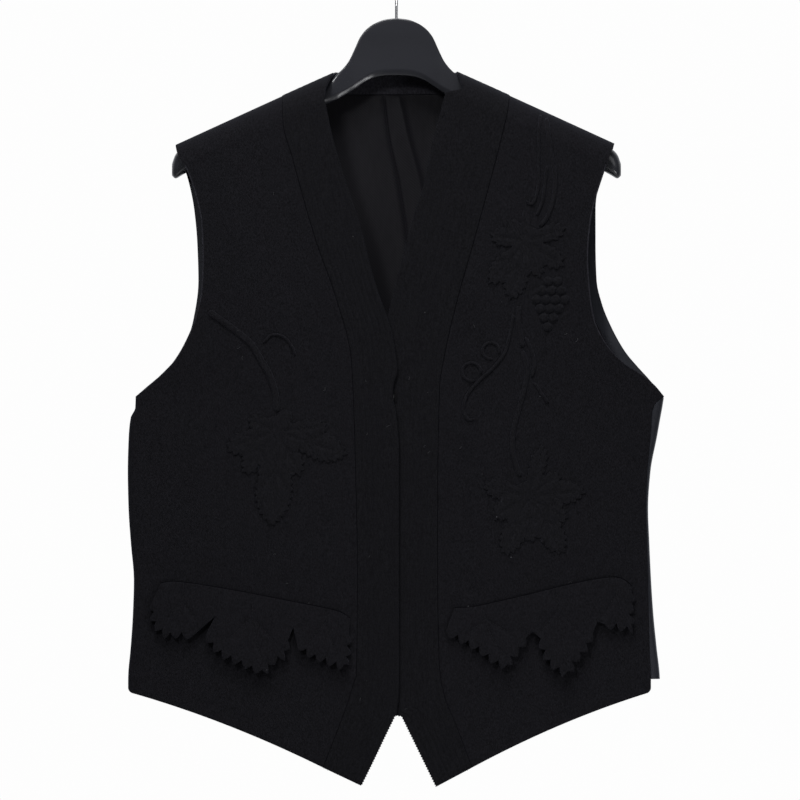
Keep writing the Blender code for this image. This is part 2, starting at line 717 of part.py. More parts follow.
def clear_of(outline, x, z, distance):
    """Whether a point is at least this far from an outline."""
    point = Vector((x, z))
    for start, end in zip(outline, outline[1:] + outline[:1]):
        a, b = Vector(start), Vector(end)
        share = min(max((point - a).dot(b - a) / max((b - a).length_squared, 1e-9), 0.0), 1.0)
        if (point - a - (b - a) * share).length < distance:
            return False
    return True


def grid_points(outline, grid):
    """A grid of even triangles inside an outline, kept clear of its rim."""
    left, right = min(x for x, _ in outline), max(x for x, _ in outline)
    low, high = min(z for _, z in outline), max(z for _, z in outline)
    points = []
    rise = grid * math.sqrt(3) / 2
    for j in range(int((high - low) / rise) + 1):
        for k in range(int((right - left) / grid) + 1):
            x = left + grid * (k + 0.5 + 0.5 * (j % 2))
            z = low + grid / 2 + rise * j
            if inside_outline(outline, x, z) and clear_of(outline, x, z, grid * GRID_CLEARANCE):
                points.append((x, z))
    return points


def cut_out(name, outline, stand, thickness):
    """A shape cut from cloth and laid on the front: stand gives its distance from it at (x, z)."""
    outline = [(float(x), float(z)) for x, z in outline]
    spots = [Vector(point) for point in outline + grid_points(outline, LEAF_GRID)]
    rim = list(range(len(outline)))
    points, _, faces, _, _, _ = delaunay_2d_cdt(spots, [], [rim], 1, 1e-4)
    build = bmesh.new()
    corners = [build.verts.new(cloth_point(p[0], p[1], -1, stand(p[0], p[1]))) for p in points]
    for face in faces:
        build.faces.new([corners[i] for i in face])
    for face in build.faces:
        face.normal_update()
        if face.normal.y > 0:
            face.normal_flip()
    return thickened(name, build, thickness, "wool")


def toothed(path, pitch, depth, lean):
    """A line with saw teeth on its right-hand side, its two ends kept.

    lean gives, at a point, the share of their depth that the teeth have there and the way they point.
    """
    path = np.array(path)
    steps = np.linalg.norm(np.diff(path, axis=0), axis=1)
    lengths = np.concatenate([[0.0], np.cumsum(steps)])

    def at(length):
        return np.array([np.interp(length, lengths, path[:, k]) for k in (0, 1)])

    teeth = round(float(lengths[-1]) / pitch)
    points = [at(0.0)]
    for k in range(1, 2 * teeth):
        length = lengths[-1] * k / (2 * teeth)
        run = at(length + TOOTH_REACH) - at(length - TOOTH_REACH)
        out = np.array([run[1], -run[0]]) / np.linalg.norm(run)
        share, way = lean(at(length))
        step = out / 2 + way * TOOTH_LEAN if k % 2 else -out / 2
        points.append(at(length) + step * depth * share)
    return points + [at(lengths[-1])]


def leaf_outline(centre, lobes):
    """A lobed and toothed vine leaf, turning anticlockwise round its centre from its stem."""
    path = []
    for turn in range(LEAF_START_TURN, LEAF_START_TURN + 361, LEAF_TURN_STEP):
        reach = LEAF_WAIST
        for direction, length, width in lobes:
            away = abs((turn - direction + 180) % 360 - 180) / width
            if away < 1:
                fall = LEAF_LOBE_TAPER * away + (1 - LEAF_LOBE_TAPER) * away**LEAF_LOBE_BREADTH
                reach = max(reach, LEAF_LOBE_FOOT + (length - LEAF_LOBE_FOOT) * (1 - fall))
        angle = math.radians(turn)
        path.append((centre[0] + reach * math.cos(angle), centre[1] + reach * math.sin(angle)))

    def outwards(point):
        away = point - np.array(centre)
        reach = float(np.linalg.norm(away))
        return blend(reach, LEAF_WAIST + TEETH_START, LEAF_WAIST + TEETH_FULL), away / reach

    return toothed(path, LEAF_TOOTH_PITCH, LEAF_TOOTH_DEPTH, outwards)[:-1]


def flap(name, seam, leaves, slits):
    """A pocket flap cut as a row of toothed leaves with slits between, which stands off at its lower edge."""
    upper = flowing(seam, FLAP_SEAM_STEP)

    def stand(x, z):
        top = through([point[0] for point in seam], [point[1] for point in seam], x)
        return APPLIQUE_GAP + FLAP_STAND * max((top - z) / FLAP_DROP, 0.0)

    def downwards(point):
        return 1.0, np.array([0.0, -1.0])

    lower = [seam[0]]
    for leaf, slit in zip(leaves, slits + (seam[-1],)):
        lower += toothed(flowing(leaf, FLAP_TOOTH_PITCH / 4), FLAP_TOOTH_PITCH, FLAP_TOOTH_DEPTH, downwards)
        lower.append(slit)
    return cut_out(name, lower + upper[-2:0:-1], stand, FLAP_WALL)


def strand(name, width, path):
    """A narrow strip of cloth along a line on the front, a little raised in its middle."""
    build = bmesh.new()
    rows = []
    for k, point in enumerate(path):
        run = path[min(k + 1, len(path) - 1)] - path[max(k - 1, 0)]
        run = run / np.linalg.norm(run)
        across = np.array([run[1], -run[0]])
        half = width / 2 * (STRAND_END if k in (0, len(path) - 1) else 1.0)
        row = []
        for share, out in ((-1, 0.0), (0, STRAND_CROWN), (1, 0.0)):
            spot = point + across * share * half
            row.append(build.verts.new(cloth_point(spot[0], spot[1], -1, APPLIQUE_GAP + out)))
        rows.append(row)
    for upper, lower in zip(rows, rows[1:]):
        for k in range(2):
            face = build.faces.new((upper[k], upper[k + 1], lower[k + 1], lower[k]))
            face.normal_update()
            if face.normal.y > 0:
                face.normal_flip()
    return thickened(name, build, APPLIQUE_WALL, "wool")


def build_applique():
    for name, (centre, lobes) in LEAVES.items():
        cut_out(name, leaf_outline(centre, lobes), lambda x, z: APPLIQUE_GAP, APPLIQUE_WALL)
    for name, (width, points) in STRANDS.items():
        strand(name, width, flowing(points, STRAND_STEP))
    for name, (centre, radius, start, sweep) in CURLS.items():
        angles = [math.radians(start + sweep * k / CURL_STEPS) for k in range(CURL_STEPS + 1)]
        path = [np.array(centre) + radius * np.array([math.cos(angle), math.sin(angle)]) for angle in angles]
        strand(name, CURL_WIDTH, path)
    flap("flap_left", LEFT_FLAP_SEAM, LEFT_FLAP_LEAVES, LEFT_FLAP_SLITS)
    flap("flap_right", RIGHT_FLAP_SEAM, RIGHT_FLAP_LEAVES, RIGHT_FLAP_SLITS)


def grape(name, x, z):
    """A small padded disc: a low cone, its top poked and domed."""
    build = bmesh.new()
    crown = GRAPE_RADIUS * GRAPE_CROWN
    bmesh.ops.create_cone(
        build, cap_ends=True, segments=GRAPE_SIDES, radius1=GRAPE_RADIUS, radius2=crown, depth=1
    )
    bmesh.ops.poke(build, faces=[face for face in build.faces if face.normal.z > 0.99])
    for vert in build.verts:
        share = math.hypot(vert.co.x, vert.co.y) / GRAPE_RADIUS
        out = GRAPE_HEIGHT * (1 - share**2 / 2) if vert.co.z > 0 else 0.0
        vert.co = cloth_point(x + vert.co.x, z + vert.co.y, -1, APPLIQUE_GAP + out)
    return finish(name, build, "wool")


def build_grapes():
    """A bunch in rows, each grape sewn on by itself."""
    number = 0
    for j, count in enumerate(GRAPE_ROWS):
        for k in range(count):
            number += 1
            x = BUNCH_TOP[0] + (k - (count - 1) / 2) * GRAPE_PITCH + BUNCH_LEAN * j
            grape(f"grape_{number:02d}", x, BUNCH_TOP[1] - GRAPE_RISE * j)


# The hanger and the metal


def build_hanger():
    """A moulded hanger, lofted through sections across its arms, with a socket for the hook."""
    stations = [(-row[0],) + row[1:] for row in HANGER_ROWS[:0:-1]] + list(HANGER_ROWS)
    build = bmesh.new()
    rings = []
    for x, top, low, half in stations:
        ring = []
        for k in range(HANGER_SIDES):
            turn = 2 * math.pi * k / HANGER_SIDES
            across, up = math.sin(turn), math.cos(turn)
            y = half * math.copysign(abs(across) ** HANGER_SQUARE, across)
            z = (top + low) / 2 + (top - low) / 2 * math.copysign(abs(up) ** HANGER_SQUARE, up)
            ring.append(build.verts.new((x, y, z)))
        rings.append(ring)
    for a, b in zip(rings, rings[1:]):
        for k in range(HANGER_SIDES):
            n = (k + 1) % HANGER_SIDES
            build.faces.new((a[k], a[n], b[n], b[k]))
    build.faces.new(rings[0])
    build.faces.new(rings[-1])
    hanger = finish("hanger_body", build, "hanger plastic")
    socket = bmesh.new()
    radius = HOOK_WIRE / 2 + HOOK_SOCKET_CLEARANCE
    bmesh.ops.create_cone(
        socket, cap_ends=True, segments=12, radius1=radius, radius2=radius, depth=2 * HOOK_SOCKET_DEPTH
    )
    bmesh.ops.translate(socket, verts=socket.verts, vec=(0, 0, HANGER_ROWS[0][1]))
    cutter = finish("hook_socket", socket, "hanger plastic")
    PARTS.objects.unlink(cutter)
    CUTTERS.objects.link(cutter)
    cutter.hide_render = True
    cutter.display_type = "WIRE"
    cut = hanger.modifiers.new("Hook socket", "BOOLEAN")
    cut.operation = "DIFFERENCE"
    cut.object = cutter
    return hanger


def wire(name, points, diameter, look, resolution=2):
    """A round wire along points in millimetres."""
    curve = bpy.data.curves.new(name, "CURVE")
    curve.dimensions = "3D"
    curve.bevel_depth = diameter / 2 * MM
    curve.bevel_resolution = resolution
    curve.use_fill_caps = True
    spline = curve.splines.new("POLY")
    spline.points.add(len(points) - 1)
    for target, point in zip(spline.points, points):
        target.co = (point[0] * MM, point[1] * MM, point[2] * MM, 1)
    piece = bpy.data.objects.new(name, curve)
    PARTS.objects.link(piece)
    curve.materials.append(LOOKS[look])
    return piece


def build_hook():
    """The hanger's hook, in the plane across the arms, so that it shows edge-on from the front."""
    radius = HOOK_INNER_RADIUS + HOOK_WIRE / 2
    points = []
    for turn in range(HOOK_FIRST_TURN, HOOK_LAST_TURN - 1, HOOK_TURN_STEP):
        angle = math.radians(turn)
        points.append((0.0, radius * math.cos(angle), radius * math.sin(angle) - HOOK_INNER_RADIUS))
    points += [(0.0, y, z) for y, z in HOOK_NECK]
    points.append((0.0, 0.0, HANGER_ROWS[0][1] - HOOK_SOCKET_DEPTH + HOOK_SOCKET_FLOOR))
    wire("hanger_hook", points, HOOK_WIRE, "metal")


def build_closure():
    """The closure's hook: a bent wire between the two bands, whose bend shows at the left one's edge."""
    y = cloth_y(CLOSURE_BEND_X, CLOSURE_Z, -1) - BAND_PROUD - QUILT_HEIGHT - CLOSURE_GAP - CLOSURE_WIRE / 2
    bend_x = CLOSURE_BEND_X - CLOSURE_BEND
    upper = [(CLOSURE_ROOT_X, CLOSURE_Z + CLOSURE_BEND)]
    lower = [(CLOSURE_ROOT_X, CLOSURE_Z - CLOSURE_BEND)]
    bend = []
    for turn in (90, 60, 30, 0, -30, -60, -90):
        angle = math.radians(turn)
        bend.append((bend_x + CLOSURE_BEND * math.cos(angle), CLOSURE_Z + CLOSURE_BEND * math.sin(angle)))
    wire("closure_hook", [(x, y, z) for x, z in upper + bend + lower], CLOSURE_WIRE, "metal", 1)


def clear_scene():
    for item in list(bpy.data.objects):
        bpy.data.objects.remove(item, do_unlink=True)


def new_collection(name):
    made = bpy.data.collections.new(name)
    bpy.context.scene.collection.children.link(made)
    return made


def new_look(name, colour, roughness, metallic):
    look = bpy.data.materials.new(name)
    look.use_nodes = True
    shader = look.node_tree.nodes["Principled BSDF"]
    shader.inputs["Base Color"].default_value = colour
    shader.inputs["Roughness"].default_value = roughness
    shader.inputs["Metallic"].default_value = metallic
    return look


clear_scene()
PARTS = new_collection("vest_on_hanger")
CUTTERS = new_collection("cutters")
LOOKS = {name: new_look(name, *look) for name, look in SMOOTH_LOOKS.items()}
build_fronts()
build_back()
build_neck_facing()
build_back_lining()
build_applique()
build_grapes()
build_hanger()
build_hook()
build_closure()
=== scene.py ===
# A black wool waistcoat with vine applique, hung shut on a moulded hanger.
# +X is the viewer's right, -Y the front and +Z up. The origin is the inside top of the hanger's hook.
# The tables are in millimetres. The settings that a user may change are in metres, as Blender shows them.
import math

import bmesh
import bpy
import numpy as np
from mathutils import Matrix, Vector
from mathutils.geometry import delaunay_2d_cdt


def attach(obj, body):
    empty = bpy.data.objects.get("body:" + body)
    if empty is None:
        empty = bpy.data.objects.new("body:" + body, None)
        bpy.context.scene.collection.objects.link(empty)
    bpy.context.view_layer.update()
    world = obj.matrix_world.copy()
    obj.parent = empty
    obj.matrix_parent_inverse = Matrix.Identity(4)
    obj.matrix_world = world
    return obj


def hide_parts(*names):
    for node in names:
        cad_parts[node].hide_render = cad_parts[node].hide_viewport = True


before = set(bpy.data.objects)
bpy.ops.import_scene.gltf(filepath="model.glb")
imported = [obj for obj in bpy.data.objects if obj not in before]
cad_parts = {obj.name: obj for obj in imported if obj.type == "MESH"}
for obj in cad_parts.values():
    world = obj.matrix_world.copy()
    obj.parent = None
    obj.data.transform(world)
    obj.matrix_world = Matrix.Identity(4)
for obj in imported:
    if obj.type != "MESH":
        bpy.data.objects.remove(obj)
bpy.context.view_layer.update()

bl_info = {
    "name": "Vest on a Hanger",
    "version": (1, 0, 0),
    "blender": (4, 5, 0),
    "location": "View3D > Sidebar > Vest",
    "description": "Sews a black wool waistcoat with quilted bands and vine applique, and hangs it up",
    "category": "Add Mesh",
}

MM = 0.001
BODY = "root"

# How much paler the wool is painted: a highlight on the armhole's turned edge, and light on the neck facing
# against the hanger's shadow
RIM_HIGHLIGHT_PALER = 2.3
FACING_PAINTED_LIGHT = 2.8

# Cloth
FRONT_WALL = 2.0
BACK_WALL = 1.6
FACING_WALL = 1.5
LINING_WALL = 1.0
BAND_WALL = 2.1
BAND_PROUD = 0.5
SEAM_GAP = 0.3
SEAM_LAP = 0.05
# A dark thread laid along each band's seam paints the shadow in the seam
BAND_SEAM_SHADOW_OUT = 0.1
BAND_SEAM_SHADOW_WIDTH = 0.8
LINING_GAP = 0.6
FACING_GAP = 1.1
EDGE_ROUND = 0.45

# The shoulder line
RIDGE_TOP = -84.6
RIDGE_SLOPE = 0.46
RIDGE_NECK_ROUND = 18.0
SHOULDER_ROLL = 24.0
BACK_NECK_Z = -112.0
FOLD_RADIUS = 5.0

# Half widths of the closed body, and how far the front and the back stand from the middle plane
BODY_ROWS = (
    # z, left, right, front, back
    (-80.0, 345.0, 345.0, 27.0, 23.0),
    (-200.0, 330.0, 330.0, 29.0, 23.0),
    (-300.0, 292.0, 292.0, 29.0, 22.0),
    (-380.0, 258.0, 262.0, 28.0, 21.0),
    (-414.0, 243.0, 249.4, 28.0, 21.0),
    (-425.0, 243.4, 247.5, 28.0, 21.0),
    (-433.0, 247.4, 246.0, 28.0, 21.0),
    (-451.0, 249.4, 242.8, 28.0, 21.0),
    (-484.0, 250.3, 236.6, 27.5, 20.5),
    (-518.0, 249.6, 234.4, 27.0, 20.0),
    (-551.0, 247.4, 235.6, 27.0, 20.0),
    (-585.0, 244.6, 237.2, 26.5, 19.0),
    (-618.0, 245.6, 239.4, 26.0, 18.5),
    (-648.0, 247.6, 242.4, 26.0, 18.0),
    (-677.0, 250.0, 245.4, 26.0, 17.5),
    (-800.0, 250.0, 247.0, 25.0, 16.0),
)

# The bands' ends at the neck: x, and how far below the shoulder line
LEFT_NECK = ((-58.5, 0.0), (-61.5, 3.2), (-66.0, 12.0))
RIGHT_NECK = ((56.0, 0.0), (58.5, 3.2), (62.5, 14.0))

# Edges, each row a point (x, z) of a smooth line
LEFT_V_EDGE = ((-66.5, -140.0), (-60, -172), (-50, -206), (-44, -225), (-36, -249), (-21, -307), (-9, -340))
LEFT_LAP_EDGE = (
    (-9, -340), (-4, -357), (-1, -376), (0.6, -390), (-2.6, -402), (-3.8, -412), (-0.6, -430), (2, -464),
    (2, -685), (0, -707),
)
LEFT_NOTCH = (-2.6, -712.4)
LEFT_TIP = (-33.0, -775.0)
LEFT_BAND_SEAM = (
    (-106, -134), (-105, -160), (-96, -194), (-75, -268), (-56, -322), (-42, -377), (-40, -409), (-37, -513),
    (-36, -566), (-37, -672), (-40, -682), (-47, -704), (-55, -725), (-68, -758.5),
)
LEFT_ARMHOLE = (
    (-205.5, -181), (-204, -187), (-195, -203), (-186, -229), (-181, -255), (-180, -286), (-181, -314),
    (-186, -338), (-195, -361), (-209, -384), (-220, -395), (-234, -407), (-243, -414),
)
RIGHT_V_EDGE = (
    (46, -131.5), (40, -155), (34, -177), (25, -220), (18, -241), (7, -280), (-3, -320), (-8, -340),
)
RIGHT_LAP_EDGE = ((-8, -340), (-6, -365), (-5, -420), (-5, -560), (-5, -709))
RIGHT_TIP = (37.0, -776.0)
RIGHT_NOTCH = (5.0, -710.5)
RIGHT_BAND_SEAM = (
    (105, -133), (103, -149), (99, -167), (85, -221), (68, -283), (58, -318), (44, -378), (40, -404),
    (38, -521), (38, -583), (39, -644), (40, -668), (45, -694), (54, -716), (70, -758.5),
)
RIGHT_ARMHOLE = (
    (203, -179), (200, -186), (193, -206), (184, -235), (180, -255), (178, -286), (180, -317), (184, -342),
    (195, -365), (213, -384), (229, -394), (239, -402), (249.4, -414),
)
RIGHT_SIDE_SEAM = (
    (249.4, -414), (241, -421), (238, -429), (237, -445), (235.4, -464), (233.4, -484), (232.2, -518),
    (233.2, -551), (234.2, -585), (234.8, -618), (235.6, -648), (237, -677),
)
LEFT_BACK_ARMHOLE = (
    (-205.5, -181), (-200, -195), (-194, -214), (-189, -239), (-186, -272), (-185, -306), (-190, -344),
    (-201, -372), (-220, -394), (-234, -406), (-243, -414),
)
RIGHT_BACK_ARMHOLE = (
    (203, -179), (200, -192), (193, -206), (189, -216), (186, -239), (186, -272), (187, -306), (192, -328),
    (201, -350), (214, -373), (223, -384), (233, -395), (249.4, -414),
)
SIDE_ROWS_Z = (-414, -421, -429, -445, -464, -484, -518, -551, -585, -618, -648, -677)
FRONT_CORNER_Z = -689.0
FRONT_CORNER_ROUND = 4.0
HEM_BOW = 5.0
HEM_BOW_FROM_Z = -600.0
UNDERARM_FREE_ZS = (-366.0, -392.0)
UNDERARM_SEAM_Z = -400.0
NOTCH_SEAM_Z = -690.0
TAIL_SHARES = (0.0, 0.08, 0.5, 1.0)
V_STEPS = 7
ARMHOLE_STEPS = 9

# The left band laps over the right one
LAP_LIFT = 4.7
LAP_RISE_FROM_X = -37.0
LAP_RISE_TO_X = -11.0

# The pleat inside the back: its soft side and its sharp edge, from under the facing down
PLEAT_ROWS = (
    # z, soft_x, sharp_x, height
    (-131.0, -12.0, 3.0, 2.4),
    (-167.0, -8.0, 11.0, 3.4),
    (-220.0, 3.0, 25.0, 3.4),
    (-300.0, 14.0, 36.0, 2.4),
    (-420.0, 20.0, 42.0, 1.0),
    (-655.0, 24.0, 46.0, 0.4),
)
PLEAT_EDGE = 1.3
VALLEY_REACH = 1.1
VALLEY_RUN = 12.0
VALLEY_RISE = 1.2
FACING_TOP_Z = -112.3
FACING_LOW_Z = -131.7
FACING_HALF = 47.5
LINING_TOP_Z = -131.2
LINING_LOW_Z = -655.0
LINING_FROM_ARMHOLE = 12.0
LINING_FROM_FOLD = 16.0

# How finely the cloth is cut: steps within each of the rows above
ROLL_TURNS = np.arange(0, 91, 6)
ROWS_IN_ARMHOLE = 5
ROWS_IN_SIDE = 4
ROWS_IN_TAIL = 5
FRONT_COLUMNS = 64
FOLD_TURNS = np.arange(80, -1, -10)
QUILT_COLUMNS = 7
QUILT_AT_NECK = 0.25
QUILT_FADE = (150.0, 300.0)
SETTLE_TURNS = 30
# How many columns in from the armhole's rim the painted highlight reaches
RIM_HIGHLIGHT_COLUMNS = 4
LINING_ROWS = 110
LINING_CROWDING = 1.15
BACK_NECK_COLUMNS = (
    -58, -57.4, -56.8, -54, -48, -40, -32, -24, -16, -8, 0, 8, 16, 24, 32, 40, 48, 54, 56.8, 57.4, 58,
)

# Soft creases: a line from (x1, z1) to (x2, z2), how wide it is and how far it stands out
FRONT_CREASES = (
    (-212, -572, -52, -598, 5.0, -0.55),
    (-205, -560, -70, -584, 9.0, 0.35),
    (-214, -430, -196, -560, 20.0, -0.9),
    (-176, -470, -158, -700, 24.0, 0.8),
    (-120, -640, -96, -735, 22.0, -0.7),
    (-150, -200, -128, -330, 20.0, 0.7),
    (-168, -330, -226, -420, 12.0, 0.8),
    (-92, -250, -78, -420, 16.0, -0.5),
    (64, -590, 205, -566, 6.0, -0.4),
    (72, -320, 62, -420, 14.0, -1.6),
    (62, -400, 64, -640, 16.0, -2.6),
    (104, -330, 112, -600, 26.0, 1.2),
    (196, -400, 206, -560, 18.0, 0.8),
    (168, -470, 150, -700, 24.0, -0.8),
    (150, -200, 158, -320, 18.0, 0.7),
    (176, -345, 226, -412, 12.0, 0.8),
    (98, -690, 190, -668, 14.0, 0.6),
    (-190, -688, -110, -706, 14.0, 0.6),
)
BACK_CREASES = (
    (-120, -210, -60, -420, 26.0, 1.2),
    (112, -200, 52, -430, 28.0, -1.1),
    (-196, -400, -90, -470, 14.0, -1.0),
    (200, -405, 96, -486, 15.0, 1.0),
    (-150, -500, -120, -670, 28.0, 1.1),
    (10, -300, -14, -640, 30.0, -1.0),
    (130, -520, 158, -668, 26.0, 1.0),
    (-40, -150, -150, -205, 14.0, -0.8),
    (44, -150, 150, -210, 14.0, 0.8),
)
LINING_CREASES = (
    (-26, -134, -18, -190, 7.0, 1.1),
    (-40, -140, -34, -240, 9.0, -0.9),
    (40, -150, 44, -230, 8.0, 1.0),
    (-8, -190, 4, -300, 8.0, -0.6),
    (-70, -220, -120, -520, 30.0, 1.2),
    (90, -240, 120, -560, 32.0, -1.2),
)

# Applique
APPLIQUE_GAP = 0.2
APPLIQUE_WALL = 1.0
STRAND_CROWN = 0.45
STRAND_END = 0.55
STRAND_STEP = 1.6
LEAF_WAIST = 14.0
LEAF_LOBE_FOOT = 12.0
LEAF_LOBE_TAPER = 0.42
LEAF_LOBE_BREADTH = 4.0
LEAF_START_TURN = 90
LEAF_TURN_STEP = 3
LEAF_TOOTH_PITCH = 6.4
LEAF_TOOTH_DEPTH = 2.2
FLAP_TOOTH_PITCH = 10.5
FLAP_TOOTH_DEPTH = 4.6
TOOTH_REACH = 2.0
TOOTH_LEAN = 0.5
TOOTH_SWELL = 0.07
TEETH_START = 3.0
TEETH_FULL = 13.0
FLAP_STAND = 6.0
FLAP_DROP = 60.0
FLAP_WALL = 2.0
# A dark thread laid along each flap's seam paints the shadow where the flap comes out of the front
FLAP_SEAM_SHADOW_RISE = 0.3
FLAP_SEAM_SHADOW_OUT = 1.8
FLAP_SEAM_SHADOW_WIDTH = 0.8
CUT_GRID = 2.6
CUT_RIM = 1.2
CUT_GRID_RIM = 0.42
VEIN_STEP = 2.2
VEIN_HALF = 1.1
VEIN_SINK = 0.5
LEAF_PUFF = 0.55
LEAF_PUFF_REACH = 4.5
VEIN_BRANCH_FROM = 42.0
VEIN_BRANCH_TURN = 38
GRAPE_RADIUS = 4.4
GRAPE_PITCH = 8.9
GRAPE_RISE = 8.5
GRAPE_HEIGHT = 1.9
GRAPE_ROWS = (2, 3, 4, 3, 2, 1)
GRAPE_RINGS = (0.0, 0.25, 0.5, 0.7, 0.85, 0.95, 1.0)
GRAPE_SIDES = 22
BUNCH_TOP = (145.0, -307.0)
BUNCH_LEAN = -1.0

# The leaves: centre, then each lobe's direction in degrees, length and half width in degrees
LEAVES = {
    "leaf_left": ((-111.0, -446.0), ((5, 47, 20), (-19, 68, 24), (-62, 46, 24), (-93, 88, 25), (-128, 50, 24),
                                     (-160, 49, 26), (158, 28, 30), (60, 22, 30))),
    "leaf_upper": ((121.0, -270.0), ((95, 27, 18), (20, 37, 24), (-34, 40, 26), (-70, 35, 24),
                                     (-106, 56, 23), (-132, 52, 24), (170, 34, 28), (130, 26, 22))),
    "leaf_lower": ((122.0, -507.0), ((73, 49, 19), (35, 36, 24), (6, 53, 24), (-30, 42, 24), (-58, 62, 23),
                                     (-86, 42, 22), (-112, 58, 23), (-150, 38, 26), (165, 42, 26))),
}

# The pocket flaps: the seam that each hangs from, its leaves before the teeth, the slits between, and its veins
LEFT_FLAP_SEAM = ((-219, -588), (-205, -586), (-162, -592), (-98, -604), (-55, -613), (-43, -620))
LEFT_FLAP_LEAVES = (
    ((-226, -604), (-226, -621), (-215, -634.5), (-201, -635), (-189, -637)),
    ((-175.5, -634), (-169, -645), (-158, -654), (-141, -662), (-122.5, -670), (-113, -658.5), (-103, -654),
     (-100.5, -640)),
    ((-92, -642.5), (-79, -653), (-62.5, -659.5), (-47, -664.5), (-43.5, -650), (-44, -635)),
)
LEFT_FLAP_SLITS = ((-167.5, -618), (-95.4, -628))
LEFT_FLAP_VEINS = (
    ((-196, -592), (-200, -612), (-203, -630)), ((-200, -604), (-213, -622)), ((-198, -604), (-186, -622)),
    ((-134, -601), (-132, -628), (-124, -660)), ((-133, -618), (-156, -640)), ((-133, -620), (-112, -642)),
    ((-66, -614), (-62, -634), (-53, -657)), ((-64, -622), (-82, -642)),
)
RIGHT_FLAP_SEAM = ((54, -610), (72, -609), (113, -600), (168, -587), (200, -582), (212, -585), (219, -591))
RIGHT_FLAP_LEAVES = (
    ((46, -631.5), (60.5, -639), (76, -648), (88, -658), (103.5, -665), (107, -655.5), (115, -647.5),
     (119.5, -638)),
    ((133.5, -639), (135.5, -649), (141.5, -660.5), (157.5, -671), (165.5, -659), (175.5, -647.5),
     (181.5, -633.5)),
    ((193, -626), (204, -626.5), (213, -629), (220, -629), (217.5, -614), (221, -606), (218.5, -597)),
)
RIGHT_FLAP_SLITS = ((126, -632), (186, -623))
RIGHT_FLAP_VEINS = (
    ((80, -611), (86, -632), (98, -655)), ((83, -620), (64, -636)), ((85, -622), (106, -634)),
    ((148, -596), (152, -628), (158, -660)), ((150, -612), (132, -634)), ((151, -616), (172, -636)),
    ((202, -588), (205, -604), (212, -622)), ((203, -598), (192, -616)),
)

# Stems, vines and tendrils: width, then points (x, z) of each one's middle line
STRANDS = {
    "stem_left": (6.0, ((-174, -335), (-159, -346), (-137, -363), (-126, -380), (-117, -396), (-112, -414),
                        (-111, -428))),
    "tendril_left": (2.6, ((-123.5, -364), (-116, -357), (-106, -358), (-98, -366), (-94, -376))),
    "stem_outer": (4.0, ((139, -156), (143, -186), (147, -209), (146, -228), (140.5, -246), (133, -256))),
    "stem_inner": (3.0, ((133.5, -153), (132, -172), (132, -200), (131, -222), (126, -235), (120, -233))),
    "stem_middle": (2.8, ((139.5, -200), (138, -214), (135.5, -232), (130, -246))),
    "vine_upper": (5.0, ((113.5, -330), (113, -340), (114, -352), (117, -368))),
    "vine_outer": (3.0, ((119.5, -359), (125.5, -372), (128, -384), (125.5, -396))),
    "vine_lower": (4.6, ((117, -372), (121, -390), (119, -405), (113, -427), (108, -448), (108, -467),
                         (111.5, -480), (115, -488))),
    "vine_branch": (2.8, ((127.5, -401), (133, -409), (141, -420))),
    "tendril_long": (2.8, ((108.3, -338), (105.5, -355), (100, -374), (89, -388), (77, -399), (66, -412),
                           (62, -425), (66, -435), (73, -435))),
}
# Open rings of tendril beside the long one: centre, radius, start and sweep in degrees
CURLS = {
    "tendril_curl_upper": ((87.5, -371.5), 7.6, -20, 300),
    "tendril_curl_lower": ((69.5, -391.0), 8.4, -15, 305),
}
CURL_WIDTH = 2.6

# The hanger: at each distance from its middle, top, lower edge and half thickness
HANGER_ROWS = (
    # x, top, low, half_depth
    (0.0, -62.0, -115.0, 8.0),
    (10.0, -63.2, -115.3, 8.0),
    (20.0, -66.8, -117.2, 8.0),
    (28.0, -72.4, -120.8, 8.0),
    (34.0, -80.0, -124.8, 8.0),
    (39.0, -91.0, -128.2, 8.0),
    (45.0, -103.0, -132.0, 8.4),
    (54.0, -113.0, -137.0, 9.0),
    (66.0, -121.0, -143.0, 9.5),
    (95.0, -133.8, -157.0, 10.5),
    (130.0, -149.6, -173.5, 11.5),
    (165.0, -165.6, -190.0, 12.0),
    (190.0, -177.2, -202.5, 11.6),
    (200.0, -183.0, -208.0, 10.6),
    (206.0, -189.0, -211.0, 8.0),
    (209.0, -197.0, -208.5, 4.0),
)
# Its corners: how far each point lies in from the side, and in from the top or the lower edge
HANGER_UPPER_CORNER = ((4.0, 0.0), (1.3, 0.0), (0.6, 0.12), (0.12, 0.6), (0.0, 1.3), (0.0, 4.0))
HANGER_LOWER_CORNER = ((0.0, 6.5), (0.0, 5.4), (0.3, 4.4), (1.9, 0.9), (2.3, 0.3), (3.1, 0.0), (4.0, 0.0))
# Under the shoulders the arms turn round, over this reach from the middle
HANGER_ROUND_FROM = 54.0
HANGER_ROUND_OVER = 12.0
HANGER_ROUND_POWER = 0.85
HANGER_ROUND_TURN = 82
# The half thickness and the height below which its corners shrink
HANGER_FULL_HALF = 4.8
HANGER_FULL_HEIGHT = 14.0
HOOK_WIRE = 2.8
HOOK_INNER_RADIUS = 18.0
HOOK_FIRST_TURN = 205
HOOK_LAST_TURN = -45
HOOK_TURN_STEP = -5
HOOK_NECK = ((7.5, -37.5), (3.2, -42.0), (0.8, -47.0), (0.0, -52.0), (0.0, -75.0))

# The closure's hook and the thread bar that it catches
CLOSURE_WIRE = 0.8
CLOSURE_GAP = 0.4
CLOSURE_Z = -414.5
CLOSURE_BEND = 2.4
CLOSURE_BEND_X = -2.4
CLOSURE_ROOT_X = -13.0
CLOSURE_QUILT = 0.45
BAR_X = -0.6
BAR_HALF = 6.5
BAR_RISE = 1.3
BAR_THREAD = 0.75
BAR_STRANDS = (-0.7, 0.0, 0.7)

